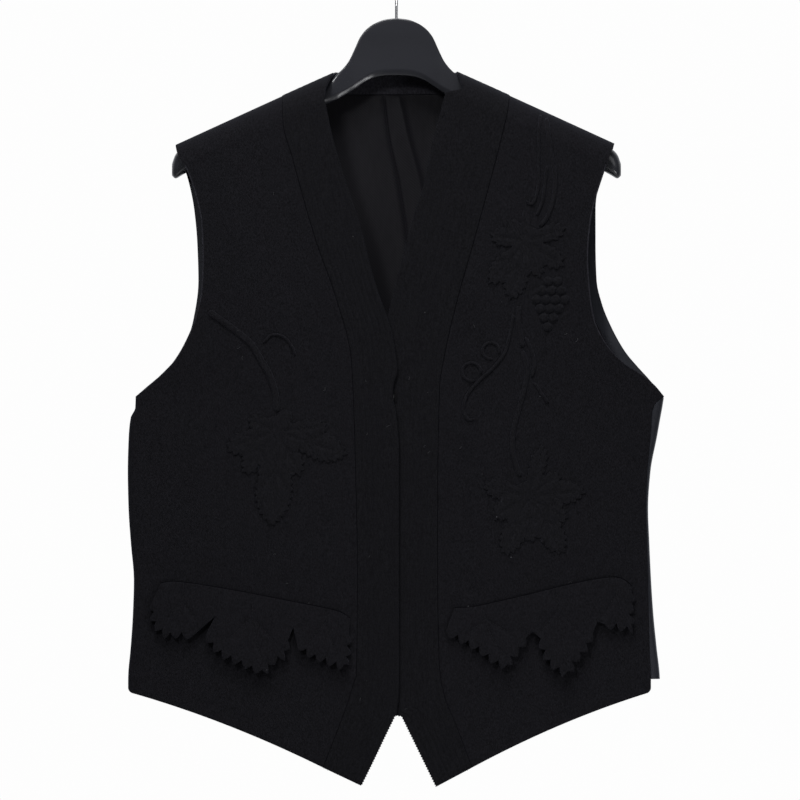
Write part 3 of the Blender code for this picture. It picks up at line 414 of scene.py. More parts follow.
# Pale lint caught in the wool
LINT_SEED = 5
LINT_COUNT = 28
LINT_LENGTH = (1.2, 4.2)
LINT_RADIUS = 0.11
LINT_SHARES = (0.06, 0.86)
LINT_ROWS_LEFT_OUT = (20, 14)
LINT_ON_BAND = 0.85
LINT_ON_FRONT = 0.35

# The photograph's frame and the studio
VIEW_CENTRE = (3.3, -417.3)
VIEW_WIDTH = 744.0
VIEW_DISTANCE = 6.0
VIEW_PLANE_Y = -10.0
SENSOR = 36.0
FLOOR_Z = -1.35
# Each lamp's place and how wide it is, in metres
LAMPS = {
    "key": ((-1.0, -2.6, 1.0), 0.5),
    "fill": ((1.9, -2.2, 0.2), 1.6),
    "top": ((-0.1, -0.9, 1.3), 1.1),
    "low": ((0.58, -0.84, -1.12), 0.24),
}


# Curves and tables


def smooth_line(keys, values):
    """A smooth line through a table's rows that never swings past them."""
    order = np.argsort(keys)
    keys, values = np.asarray(keys, float)[order], np.asarray(values, float)[order]
    steps = np.diff(keys)
    slopes = np.diff(values) / steps
    leans = np.zeros(len(keys))
    leans[0], leans[-1] = slopes[0], slopes[-1]
    for i in range(1, len(keys) - 1):
        if slopes[i - 1] * slopes[i] > 0:
            before, after = 2 * steps[i] + steps[i - 1], steps[i] + 2 * steps[i - 1]
            leans[i] = (before + after) / (before / slopes[i - 1] + after / slopes[i])

    def line(at):
        at = np.clip(at, keys[0], keys[-1])
        i = np.clip(np.searchsorted(keys, at, side="right") - 1, 0, len(steps) - 1)
        s = (at - keys[i]) / steps[i]
        rise_in, rise_out = leans[i] * steps[i], leans[i + 1] * steps[i]
        return (
            values[i] * (1 + 2 * s) * (1 - s) ** 2
            + rise_in * s * (1 - s) ** 2
            + values[i + 1] * s * s * (3 - 2 * s)
            + rise_out * s * s * (s - 1)
        )

    return line


def table_lines(rows):
    """A smooth line for each further column of a table, by its first one."""
    keys, *columns = zip(*rows)
    return [smooth_line(keys, column) for column in columns]


def x_on(edge, z):
    """Where an edge's smooth line crosses a height."""
    return smooth_line([point[1] for point in edge], [point[0] for point in edge])(z)


def flowing(points, spacing):
    """Points on a smooth curve through a strand's points, at about even spacing."""
    path = np.array([2 * np.array(points[0]) - points[1], *points, 2 * np.array(points[-1]) - points[-2]], float)
    found = [path[1]]
    for i in range(1, len(path) - 2):
        a, b, c, d = path[i - 1 : i + 3]
        steps = max(1, round(float(np.linalg.norm(c - b)) / spacing))
        for s in np.arange(1, steps + 1) / steps:
            bend, swing = 2 * a - 5 * b + 4 * c - d, 3 * b - a - 3 * c + d
            found.append(0.5 * (2 * b + (c - a) * s + bend * s**2 + swing * s**3))
    return np.array(found)


def blend(x, start, end):
    """0 at start and 1 at end, easing at both."""
    s = np.clip((x - start) / (end - start), 0.0, 1.0)
    return s * s * (3 - 2 * s)


def quarter_round(distance, radius):
    """The height of a quarter circle at a distance from its foot, as a share of the radius."""
    return np.sqrt(np.maximum(0.0, 1 - (1 - np.clip(distance / radius, 0.0, 1.0)) ** 2))


def turned(radius, turn):
    """How far in from its rim a quarter circle has come after a turn in degrees."""
    return radius * (1 - np.cos(np.radians(turn)))


def between(at, keys, rows):
    """A table's rows at places between their keys."""
    return np.stack([np.interp(at, keys, column) for column in np.asarray(rows, float).T], axis=-1)


def lengths_along(path):
    """How far along a path each of its points is."""
    return np.concatenate([[0.0], np.cumsum(np.linalg.norm(np.diff(path, axis=0), axis=1))])


def directions(path):
    """The way that a path runs at each of its points."""
    runs = np.gradient(path, axis=0)
    return runs / np.linalg.norm(runs, axis=1, keepdims=True)


def to_right(runs):
    """The ways to the right of others, seen from the front."""
    return np.stack([runs[:, 1], -runs[:, 0]], axis=-1)


def in_steps(values, steps):
    """The values, with this many even steps between each two."""
    values = np.asarray(values, float)
    at = np.linspace(0, len(values) - 1, (len(values) - 1) * steps + 1)
    if values.ndim == 1:
        return np.interp(at, np.arange(len(values)), values)
    return between(at, np.arange(len(values)), values)


# The garment's surface


BODY_LINES = table_lines(BODY_ROWS)


def ridge(x):
    """The height of the shoulder line."""
    return RIDGE_TOP - RIDGE_SLOPE * np.hypot(x, RIDGE_NECK_ROUND)


def cloth_y(x, z, face, lap=False):
    """The garment's outer surface: face is -1 for the front and 1 for the back."""
    left, right, front, back = [line(z) for line in BODY_LINES]
    width = np.where(x < 0, left, right)
    depth = np.where(face < 0, front, back)
    fold = FOLD_RADIUS * quarter_round(width - np.abs(x), FOLD_RADIUS)
    bulge = (depth - FOLD_RADIUS) * np.maximum(1 - (x / width) ** 2, 0.0)
    y = face * ((fold + bulge) * quarter_round(ridge(x) - z, SHOULDER_ROLL) + SEAM_GAP / 2)
    if lap:
        y = y - LAP_LIFT * blend(x, LAP_RISE_FROM_X, LAP_RISE_TO_X)
    return y


def cloth_points(x, z, face, out=0.0, lap=False):
    """Points of the garment's surface, moved out along the surface's own direction."""
    x, z = np.broadcast_arrays(np.asarray(x, float), np.asarray(z, float))
    face = np.broadcast_to(np.asarray(face, float), x.shape)
    step = 0.001
    dx = np.where(x > 0, -step, step)
    y = cloth_y(x, z, face, lap)
    lean_x = (cloth_y(x + dx, z, face, lap) - y) / dx
    lean_z = (cloth_y(x, z - step, face, lap) - y) / -step
    facing = np.stack([-face * lean_x, face, -face * lean_z], axis=-1)
    facing = facing / np.linalg.norm(facing, axis=-1, keepdims=True)
    out = np.broadcast_to(np.asarray(out, float), x.shape)
    return np.stack([x, y, z], axis=-1) + facing * out[..., None]


def creased(x, z, rows, height):
    """How far soft troughs and ridges move the cloth out at each point."""
    out = np.zeros(np.shape(x))
    for x1, z1, x2, z2, width, stand in rows:
        run = np.array([x2 - x1, z2 - z1], float)
        length = np.linalg.norm(run)
        along = np.clip(((x - x1) * run[0] + (z - z1) * run[1]) / length**2, 0.0, 1.0)
        off = np.hypot(x - x1 - along * run[0], z - z1 - along * run[1])
        out += stand * height * np.exp(-((off / width) ** 2)) * np.sin(np.pi * along) ** 0.7
    return out


# Meshes


def quads(index):
    """Faces over a grid of point numbers."""
    return np.stack([index[:-1, :-1], index[:-1, 1:], index[1:, 1:], index[1:, :-1]], axis=-1).reshape(-1, 4)


def ring_faces(rings, sides, start=0):
    """Faces between closed rings of points, and the point numbers of the first and the last ring."""
    index = start + np.arange(rings * sides).reshape(rings, sides)
    loop = np.concatenate([index, index[:, :1]], axis=1)
    return quads(loop).tolist(), index[0].tolist(), index[-1].tolist()


def wall(outer, inner):
    """Points and faces of a cloth wall between two grids of points, closed round its rim."""
    rows, columns = outer.shape[:2]
    count = rows * columns
    index = np.arange(count).reshape(rows, columns)
    rim = np.concatenate([index[0, :-1], index[:-1, -1], index[-1, :0:-1], index[:0:-1, 0]])
    after = np.roll(rim, -1)
    sides = np.stack([rim, rim + count, after + count, after], axis=-1)
    faces = np.concatenate([quads(index), quads(index)[:, ::-1] + count, sides])
    return np.concatenate([outer.reshape(-1, 3), inner.reshape(-1, 3)]), faces.tolist()


def cloth_wall(x, z, face, out, thickness):
    """Points and faces of a cloth wall, whose outer side is this far out from the garment's surface."""
    return wall(cloth_points(x, z, face, out), cloth_points(x, z, face, out - thickness))


def new_piece(name, points, faces, look, slot, nodes=(), round_edge=0.0):
    """A piece in the vest's frame that rides with it and stands for its CAD nodes."""
    mesh = bpy.data.meshes.new(name)
    mesh.from_pydata((np.asarray(points) * MM).tolist(), [], faces)
    build = bmesh.new()
    build.from_mesh(mesh)
    bmesh.ops.recalc_face_normals(build, faces=build.faces)
    build.to_mesh(mesh)
    build.free()
    mesh.shade_smooth()
    mesh.materials.append(look)
    piece = bpy.data.objects.new(name, mesh)
    bpy.context.scene.collection.objects.link(piece)
    if round_edge:
        soft = piece.modifiers.new("Soft edge", "BEVEL")
        soft.width = round_edge * MM
        soft.segments = 2
        soft.limit_method = "ANGLE"
        soft.angle_limit = math.radians(50)
    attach(piece, BODY)
    if nodes:
        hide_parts(*nodes)
    return piece


def joined(parts):
    """Points and faces of several meshes as one."""
    points, faces, count = [], [], 0
    for some_points, some_faces in parts:
        points.append(some_points)
        faces += [[corner + count for corner in face] for face in some_faces]
        count += len(some_points)
    return np.concatenate(points), faces


def tube(path, radius, sides):
    """Points and faces of a round wire or thread along points, closed at both ends."""
    path = np.asarray(path, float)
    runs = directions(path)
    side = np.cross(runs[0], (0.3, 0.2, 1.0))
    rings = []
    for point, run in zip(path, runs):
        side = side - run * side.dot(run)
        side = side / np.linalg.norm(side)
        up = np.cross(run, side)
        turns = np.arange(sides) * 2 * math.pi / sides
        rings.append(point + radius * (np.outer(np.cos(turns), side) + np.outer(np.sin(turns), up)))
    faces, first, last = ring_faces(len(path), sides)
    return np.concatenate(rings), faces + [first, last]


# Stitches


def along(path, pitch, start=0.5):
    """Points at an even pitch along a path of points, with the direction at each."""
    lengths = lengths_along(path)
    at = np.arange(pitch * start, lengths[-1], pitch)
    ahead = np.minimum(at + pitch / 4, lengths[-1])
    behind = np.maximum(at - pitch / 4, 0.0)
    runs = between(ahead, lengths, path) - between(behind, lengths, path)
    return between(at, lengths, path), runs / np.linalg.norm(runs, axis=1, keepdims=True)


def stitches(lines, pitch, length, thread, lap=False):
    """Points and faces of short stitches along lines of points on the front."""
    parts = []
    for line in lines:
        spots, _ = along(line, pitch)
        if len(spots) < 2:
            continue
        runs = directions(spots)
        facing = cloth_points(spots[:, 0], spots[:, 2], -1, 1.0, lap) - cloth_points(
            spots[:, 0], spots[:, 2], -1, 0.0, lap
        )
        side = np.cross(runs, facing)
        corners = np.stack(
            [
                spots - runs * length / 2 - facing * thread * 0.3,
                spots + side * thread / 2,
                spots + facing * thread * 0.55,
                spots - side * thread / 2,
                spots - facing * thread * 0.5,
                spots + runs * length / 2 - facing * thread * 0.3,
            ],
            axis=1,
        )
        shape = np.array(
            [(0, 1, 2), (0, 2, 3), (0, 3, 4), (0, 4, 1), (5, 2, 1), (5, 3, 2), (5, 4, 3), (5, 1, 4)]
        )
        faces = (shape[None] + 6 * np.arange(len(spots))[:, None, None]).reshape(-1, 3)
        parts.append((corners.reshape(-1, 3), faces.tolist()))
    return joined(parts)


# The fronts and their bands


def roll_points(edge):
    """The shoulder's roll along an edge: points at even turns of its quarter circle."""
    z = np.full(len(ROLL_TURNS), float(edge[0][1]))
    for _ in range(SETTLE_TURNS):
        x = x_on(edge, z)
        z = ridge(x) - turned(SHOULDER_ROLL, ROLL_TURNS)
    return np.stack([x, z], axis=-1)


def side_heights(first, last):
    """Heights between two ends, in step with the rows down the side."""
    z = in_steps(SIDE_ROWS_Z, ROWS_IN_SIDE)[1:]
    return first + (last - first) * (z - SIDE_ROWS_Z[0]) / (SIDE_ROWS_Z[-1] - SIDE_ROWS_Z[0])


def free_edge(neck, v_edge, lap_edge, notch, tip):
    """The band's free edge: neck, V, lap and the slanted end below the notch."""
    corners = [(x, ridge(x) - drop) for x, drop in neck] + [v_edge[0]]
    roll = between(ROLL_TURNS / 30, range(4), corners)
    top, low = v_edge[0][1], v_edge[-1][1]
    heights = [top + (low - top) * i / V_STEPS for i in range(V_STEPS + 1)] + list(UNDERARM_FREE_ZS)
    z = in_steps(heights, ROWS_IN_ARMHOLE)[1:]
    v_part = np.stack([np.where(z >= low, x_on(v_edge, z), x_on(lap_edge, z)), z], axis=-1)
    z = side_heights(UNDERARM_FREE_ZS[-1], lap_edge[-1][1])
    lap_part = np.stack([x_on(lap_edge, z), z], axis=-1)
    middle = ((notch[0] + tip[0]) / 2, (notch[1] + tip[1]) / 2)
    tail = in_steps([lap_edge[-1], notch, middle, tip], ROWS_IN_TAIL)[1:]
    return np.concatenate([roll, v_part, lap_part, tail])


def seam_edge(edge):
    """The seam between band and front, row for row beside the free edge."""
    roll = roll_points(edge)
    top = roll[-1][1]
    steps = ARMHOLE_STEPS * ROWS_IN_ARMHOLE
    z = np.concatenate([
        top + (UNDERARM_SEAM_Z - top) * np.arange(1, steps + 1) / steps,
        side_heights(UNDERARM_SEAM_Z, NOTCH_SEAM_Z),
        NOTCH_SEAM_Z + (edge[-1][1] - NOTCH_SEAM_Z) * in_steps(TAIL_SHARES, ROWS_IN_TAIL)[1:],
    ])
    return np.concatenate([roll, np.stack([x_on(edge, z), z], axis=-1)])


def outer_edge(armhole, side):
    """Armhole and side, row for row beside the seam."""
    roll = roll_points(armhole)
    top, steps = roll[-1][1], ARMHOLE_STEPS * ROWS_IN_ARMHOLE
    z = top + (armhole[-1][1] - top) * np.arange(1, steps + 1) / steps
    arm = np.stack([x_on(armhole, z), z], axis=-1)
    z = in_steps(SIDE_ROWS_Z, ROWS_IN_SIDE)[1:]
    low = SIDE_ROWS_Z[-1]
    z = np.concatenate([z, low + (FRONT_CORNER_Z - low) * in_steps(TAIL_SHARES, ROWS_IN_TAIL)[1:]])
    return np.concatenate([roll, arm, np.stack([side(np.maximum(z, low)), z], axis=-1)])


def front_grid(seam, outer, side, outer_gap):
    """Where a front's rows and columns lie, from the band's seam to the armhole and the side."""
    full = np.abs(outer[:, 0] - seam[:, 0])
    width = full - outer_gap
    first, last = -SEAM_LAP, width - FOLD_RADIUS
    main = first + (last[:, None] - first) * np.arange(FRONT_COLUMNS + 1) / FRONT_COLUMNS
    distance = np.concatenate([main, width[:, None] - turned(FOLD_RADIUS, FOLD_TURNS)], axis=1)
    share = distance / full[:, None]
    z = seam[:, 1:] + (outer[:, 1:] - seam[:, 1:]) * share
    bow = HEM_BOW * 4 * share * (1 - share) * blend(-z, -HEM_BOW_FROM_Z, -FRONT_CORNER_Z)
    tail = in_steps(TAIL_SHARES, ROWS_IN_TAIL)[1:]
    settle = np.zeros(len(z))
    settle[-len(tail) :] = tail
    rim = np.maximum(FRONT_CORNER_ROUND - (width[:, None] - distance), 0.0)
    bow += (FRONT_CORNER_ROUND - np.sqrt(FRONT_CORNER_ROUND**2 - rim**2)) * settle[:, None]
    return seam[:, :1] + side * distance, z + bow


def band_grid(free, seam, shares):
    """Where a band's rows and columns lie, from its free edge to its seam."""
    run = seam - free
    return free[:, :1] + run[:, :1] * shares[None], free[:, 1:] + run[:, 1:] * shares[None]


def band_height(share, z, rows, depth):
    """How far a quilted band stands out: low on each row of stitching, and flatter towards the shoulder."""
    fade = QUILT_AT_NECK + (1 - QUILT_AT_NECK) * blend(-z, *QUILT_FADE)
    return BAND_PROUD + depth * fade * np.abs(np.sin(np.pi * rows * share)) ** 0.7


def teeth(path, lap, pitch, depth, out, thickness):
    """A fine toothed edge along a path of (x, z) on the front, its points to the path's right."""
    spots, runs = along(path, pitch / 2)
    side = to_right(runs)
    reach = np.where(np.arange(len(spots)) % 2, depth, -depth * 0.2)
    tips = spots + side * reach[:, None]
    roots = spots - side * depth * 1.6
    columns = [cloth_points(edge[:, 0], edge[:, 1], -1, out, lap) for edge in (roots, tips)]
    under = [cloth_points(edge[:, 0], edge[:, 1], -1, out - thickness, lap) for edge in (roots, tips)]
    return wall(np.stack(columns, axis=1), np.stack(under, axis=1))


def edges_of_fronts():
    """The bands' free edges and seams, and the fronts' outer edges, row for row."""
    left_side = lambda z: -BODY_LINES[0](z)
    right_side = lambda z: x_on(RIGHT_SIDE_SEAM, z)
    return {
        "left": (
            free_edge(LEFT_NECK, LEFT_V_EDGE, LEFT_LAP_EDGE, LEFT_NOTCH, LEFT_TIP),
            seam_edge(LEFT_BAND_SEAM),
            outer_edge(LEFT_ARMHOLE, left_side),
        ),
        "right": (
            free_edge(RIGHT_NECK, RIGHT_V_EDGE, RIGHT_LAP_EDGE, RIGHT_NOTCH, RIGHT_TIP),
            seam_edge(RIGHT_BAND_SEAM),
            outer_edge(RIGHT_ARMHOLE, right_side),
        ),
    }


# The back


def back_top(x):
    """The back's upper edge: the shoulder line, cut level behind the neck."""
    return np.minimum(ridge(x), BACK_NECK_Z)


def back_row(share, x):
    """The height of one of the back's rows above the underarm: share is a turn of the roll, then a step down."""
    if share <= 1:
        return back_top(x) - turned(SHOULDER_ROLL, 90 * share)
    return (back_top(x) - SHOULDER_ROLL) * (2 - share) + SIDE_ROWS_Z[0] * (share - 1)


def back_edge(armhole, share):
    """Where one of the back's rows meets the armhole."""
    x = armhole[0][0]
    for _ in range(SETTLE_TURNS):
        x = float(x_on(armhole, back_row(share, x)))
    return x


def back_columns(left, right):
    """Columns across the back, from its left rim to where its right one starts."""
    neck = np.array(BACK_NECK_COLUMNS)
    rim = left + turned(FOLD_RADIUS, np.arange(0, 61, 10))
    before = np.linspace(left + FOLD_RADIUS, neck[0], 30)[:-1]
    after = np.linspace(neck[-1], right - FOLD_RADIUS, 30)[1:]
    return np.concatenate([rim, before, neck, after])


def back_grid():
    """Where the back's rows and columns lie, and which face each point is on."""
    xs, zs, faces = [], [], []
    shares = np.concatenate([ROLL_TURNS / 90, 1 + np.arange(1, 46) / 45])
    for share in shares:
        left, right = back_edge(LEFT_BACK_ARMHOLE, share), back_edge(RIGHT_BACK_ARMHOLE, share)
        x = np.concatenate([back_columns(left, right), right - np.linspace(4.6, 0.0, len(FOLD_TURNS) + 4)])
        xs.append(x)
        zs.append(back_row(share, x))
        faces.append(np.ones(len(x)))
    for z in in_steps(SIDE_ROWS_Z, ROWS_IN_SIDE)[1:]:
        left, right = -float(BODY_LINES[0](z)), float(BODY_LINES[1](z))
        seam = float(x_on(RIGHT_SIDE_SEAM, z)) + SEAM_GAP / 2
        seam_turn = math.degrees(math.acos(max(1 - (right - seam) / FOLD_RADIUS, 0.0)))
        round_x = right - turned(FOLD_RADIUS, min(seam_turn, 90) * np.array([0.25, 0.5, 0.75]))
        x = np.concatenate([back_columns(left, right), right - turned(FOLD_RADIUS, FOLD_TURNS), round_x, [seam]])
        xs.append(x)
        zs.append(np.full(len(x), z))
        faces.append(np.concatenate([np.ones(len(x) - 4), -np.ones(4)]))
    return np.array(xs), np.array(zs), np.array(faces)


def lining_height(x, share):
    """The height of one of the lining's rows, the highest of which follows the shoulders."""
    top = np.minimum(LINING_TOP_Z, ridge(x) - SHOULDER_ROLL)
    return top + (LINING_LOW_Z - top) * share


def lining_edge(side, share):
    """Where one of the lining's rows ends, inside the armhole or the fold."""
    armhole = LEFT_BACK_ARMHOLE if side < 0 else RIGHT_BACK_ARMHOLE
    reach = abs(armhole[0][0]) - LINING_FROM_ARMHOLE
    for _ in range(SETTLE_TURNS):
        z = lining_height(reach, share)
        if z > SIDE_ROWS_Z[0]:
            reach = abs(float(x_on(armhole, z))) - LINING_FROM_ARMHOLE
        else:
            reach = float(BODY_LINES[0 if side < 0 else 1](z)) - LINING_FROM_FOLD
    return side * reach


def lining_grid(rows):
    """Where the lining's rows and columns lie, and how far the pleat raises each point."""
    lines = table_lines(PLEAT_ROWS)
    xs, zs, lifts = [], [], []
    for share in (np.arange(rows + 1) / rows) ** LINING_CROWDING:
        soft, sharp, height = [float(line(lining_height(0.0, share))) for line in lines]
        crest, foot = sharp - PLEAT_EDGE / 2, sharp + PLEAT_EDGE / 2
        left, right = lining_edge(-1, share), lining_edge(1, share)
        x = np.concatenate([
            np.linspace(left, soft - VALLEY_REACH, 38)[:-1],
            soft + VALLEY_REACH * np.linspace(-1, 1, 9),
            np.linspace(soft + VALLEY_REACH, crest, 9)[1:],
            [foot],
            np.linspace(foot, right, 34)[1:],
        ])
        xs.append(x)
        zs.append(lining_height(x, share))
        lift = np.where(x <= crest, height * blend(x, soft, crest), 0.0)
        round_valley = VALLEY_RISE * (1 - blend(np.abs(x - soft), VALLEY_REACH, VALLEY_RUN))
        sunk = np.where(np.abs(x - soft) < VALLEY_REACH, 1 - (x - soft) ** 2 / VALLEY_REACH**2, 0.0)
        under = blend(LINING_TOP_Z - lining_height(x, share), 0.5, 5.0)
        lifts.append((lift + (round_valley - VALLEY_RISE * sunk) * (x < foot)) * under)
    return np.array(xs), np.array(zs), np.array(lifts)


# Applique and flaps


def front_relief(x, z, seam_x):
    """How far the fronts' creases move them out, which fades at the band's seam and at the side."""
    width = np.where(x < 0, BODY_LINES[0](z), BODY_LINES[1](z))
    fade = blend(np.minimum(width - np.abs(x), np.abs(x - seam_x)), 0.0, 14.0)
    return creased(x, z, FRONT_CREASES, bpy.context.scene.vest_sizes.creases) * fade


def on_front(x, z, out):
    """Points at a distance from a front, on its creases."""
    seam_x = np.where(x < 0, x_on(LEFT_BAND_SEAM, z), x_on(RIGHT_BAND_SEAM, z))
    return cloth_points(x, z, -1, out + front_relief(x, z, seam_x))


def inside(outline, points):
    """Which points are inside a closed outline."""
    a, b = outline, np.roll(outline, -1, axis=0)
    x, z = points[:, :1], points[:, 1:]
    crosses = (a[:, 1] > z) != (b[:, 1] > z)
    with np.errstate(divide="ignore", invalid="ignore"):
        at = a[:, 0] + (z - a[:, 1]) / (b[:, 1] - a[:, 1]) * (b[:, 0] - a[:, 0])
    return (crosses & (x < at)).sum(axis=1) % 2 == 1


def distance_to(starts, ends, points):
    """The distance from each point to the nearest of the lines from starts to ends."""
    nearest = np.full(len(points), np.inf)
    for a, b in zip(starts, ends):
        run = b - a
        share = np.clip(((points - a) @ run) / max(run @ run, 1e-9), 0.0, 1.0)
        nearest = np.minimum(nearest, np.linalg.norm(points - a - share[:, None] * run, axis=1))
    return nearest


def toothed(path, pitch, depth, lean):
    """A line with hooked saw teeth on its right-hand side, its two ends kept.

    lean gives, at a point, the share of their depth that the teeth have there and the way they point.
    """
    lengths = lengths_along(path)
    count = round(float(lengths[-1]) / pitch)

    def at(reach):
        return between(reach, lengths, path)

    found = [at(0.0)]
    for k in range(1, 2 * count):
        reach = lengths[-1] * k / (2 * count)
        run = at(reach + TOOTH_REACH) - at(reach - TOOTH_REACH)
        out = np.array([run[1], -run[0]]) / np.linalg.norm(run)
        share, way = lean(at(reach))
        step = out / 2 + way * TOOTH_LEAN if k % 2 else -out / 2
        found.append(at(reach) + step * depth * share * (0.75 + 0.4 * abs(math.sin(1.7 * k))))
    found = np.array(found + [at(lengths[-1])])
    runs = np.diff(found, axis=0)
    swell = to_right(runs) * TOOTH_SWELL
    return np.stack([found[:-1], found[:-1] + runs / 2 + swell], axis=1).reshape(-1, 2)


def leaf_outline(centre, lobes):
    """A lobed and toothed vine leaf, turning anticlockwise round its centre from its stem."""
    path = []
    for turn in np.arange(LEAF_START_TURN, LEAF_START_TURN + 360.5, LEAF_TURN_STEP):
        reach = LEAF_WAIST
        for direction, length, width in lobes:
            away = abs((turn - direction + 180) % 360 - 180) / width
            if away < 1:
                fall = LEAF_LOBE_TAPER * away + (1 - LEAF_LOBE_TAPER) * away**LEAF_LOBE_BREADTH
                reach = max(reach, LEAF_LOBE_FOOT + (length - LEAF_LOBE_FOOT) * (1 - fall))
        angle = math.radians(turn)
        path.append((centre[0] + reach * math.cos(angle), centre[1] + reach * math.sin(angle)))

    def outwards(point):
        away = point - np.array(centre)
        reach = float(np.linalg.norm(away))
        return blend(reach, LEAF_WAIST + TEETH_START, LEAF_WAIST + TEETH_FULL), away / reach

    return toothed(np.array(path), LEAF_TOOTH_PITCH, LEAF_TOOTH_DEPTH, outwards)


def leaf_veins(centre, lobes):
    """A vein to each lobe's tip, with a branch to each side on the long ones."""
    veins = []
    centre = np.array(centre)
    for direction, length, _ in lobes:
        way = np.array([math.cos(math.radians(direction)), math.sin(math.radians(direction))])
        veins.append(np.array([centre + way * 4, centre + way * length * 0.84]))
        if length < VEIN_BRANCH_FROM:
            continue
        for sign in (-1, 1):
            angle = math.radians(direction + sign * VEIN_BRANCH_TURN)
            start = centre + way * length * 0.42
            veins.append(np.array([start, start + np.array([math.cos(angle), math.sin(angle)]) * length * 0.24]))
    return veins


def cut_out(name, outline, veins, stand, thickness, look, slot):
    """A shape cut from cloth and laid on the front, sunk along its veins: stand gives its distance from it."""
    low, high = outline.min(axis=0), outline.max(axis=0)
    rise = CUT_GRID * math.sqrt(3) / 2
    rows = np.arange(low[1] + CUT_GRID / 2, high[1], rise)
    grid = []
    for j, z in enumerate(rows):
        x = np.arange(low[0] + CUT_GRID * (0.5 + 0.5 * (j % 2)), high[0], CUT_GRID)
        grid.append(np.stack([x, np.full(len(x), z)], axis=1))
    grid = np.concatenate(grid)
    starts, ends = outline, np.roll(outline, -1, axis=0)
    vein_lines = [flowing(vein, VEIN_STEP) if len(vein) > 2 else in_steps(vein, 12) for vein in veins]
    vein_lines = [along(line, VEIN_STEP, 0.1) for line in vein_lines]
    centres = np.concatenate([spots for spots, _ in vein_lines])
    sides = np.concatenate([
        spots + sign * VEIN_HALF * to_right(runs) for spots, runs in vein_lines for sign in (-1, 1)
    ])

    def clear(points, rim, vein):
        keep = inside(outline, points) & (distance_to(starts, ends, points) > rim)
        near = np.linalg.norm(points[:, None] - centres[None], axis=2).min(axis=1)
        return points[keep & (near > vein)]

    centres_in = centres[inside(outline, centres) & (distance_to(starts, ends, centres) > CUT_RIM)]
    spots = np.concatenate([
        outline,
        centres_in,
        clear(sides, CUT_RIM, VEIN_HALF * 0.8),
        clear(grid, CUT_GRID * CUT_GRID_RIM, VEIN_HALF * 1.9),
    ])
    rim = list(range(len(outline)))
    flat, _, faces, _, _, _ = delaunay_2d_cdt([Vector(point) for point in spots], [], [rim], 1, 1e-4)
    flat = np.array([tuple(point) for point in flat])
    from_rim = distance_to(starts, ends, flat)
    from_vein = np.linalg.norm(flat[:, None] - centres[None], axis=2).min(axis=1)
    relief = LEAF_PUFF
    for away in (from_vein, from_rim):
        relief = relief * (1 - np.exp(-((away / LEAF_PUFF_REACH) ** 2)))
    relief -= VEIN_SINK * np.exp(-((from_vein / VEIN_HALF) ** 2))
    height = stand(flat[:, 0], flat[:, 1])
    outer = on_front(flat[:, 0], flat[:, 1], height + thickness + relief)
    inner = on_front(flat[:, 0], flat[:, 1], height)
    count = len(flat)
    edges = {}
    for face in faces:
        for a, b in zip(face, face[1:] + face[:1]):
            edges[(a, b)] = (b, a) not in edges
            if (b, a) in edges:
                edges[(a, b)] = edges[(b, a)] = False
    sides = [[a, b, b + count, a + count] for (a, b), open_edge in edges.items() if open_edge]
    under = [[corner + count for corner in face[::-1]] for face in faces]
    points, faces = np.concatenate([outer, inner]), [list(face) for face in faces] + under + sides
    piece = new_piece(name + "_cut", points, faces, look, slot, (name,), 0.3)
    sunk = thickness - VEIN_SINK * 0.7
    return piece, [on_front(*line.T, stand(*line.T) + sunk) for line, _ in vein_lines]


def strand_mesh(width, path):
    """A narrow strip of cloth along a line on the front, a little raised in its middle."""
    side = to_right(directions(path))
    half = np.full(len(path), width / 2)
    half[[0, -1]] *= STRAND_END
    half[[1, -2]] *= 0.9
    shares = np.array([-1, -0.85, -0.5, 0, 0.5, 0.85, 1])
    spots = path[:, None] + side[:, None] * (half[:, None] * shares)[..., None]
    crown = APPLIQUE_WALL * 0.6 + (APPLIQUE_WALL * 0.4 + STRAND_CROWN) * np.sqrt(1 - shares**2)
    ends = np.ones(len(path))
    ends[[0, -1]] = 0.6
    outer = on_front(spots[..., 0], spots[..., 1], APPLIQUE_GAP + crown[None] * ends[:, None])
    inner = on_front(spots[..., 0], spots[..., 1], APPLIQUE_GAP)
    return wall(outer, inner)


def grape_mesh(x, z):
    """A small padded disc, domed and pressed in at its rim."""
    points = [[x, z, APPLIQUE_GAP + GRAPE_HEIGHT]]
    for share in GRAPE_RINGS[1:]:
        for k in range(GRAPE_SIDES):
            turn = 2 * math.pi * k / GRAPE_SIDES
            wobble = 1 + 0.025 * math.sin(3 * turn + x)
            reach = GRAPE_RADIUS * share * wobble
            out = APPLIQUE_GAP + GRAPE_HEIGHT * (1 - 0.82 * share**3.2)
            points.append([x + reach * math.cos(turn), z + reach * math.sin(turn), out])
    points += [[px, pz, APPLIQUE_GAP * 0.6] for px, pz, _ in points[-GRAPE_SIDES:]]
    points = np.array(points)
    faces, first, last = ring_faces(len(GRAPE_RINGS), GRAPE_SIDES, 1)
    crown = [[0, a, b] for a, b in zip(first, first[1:] + first[:1])]
    return on_front(*points.T), crown + faces + [last]


# Finishes


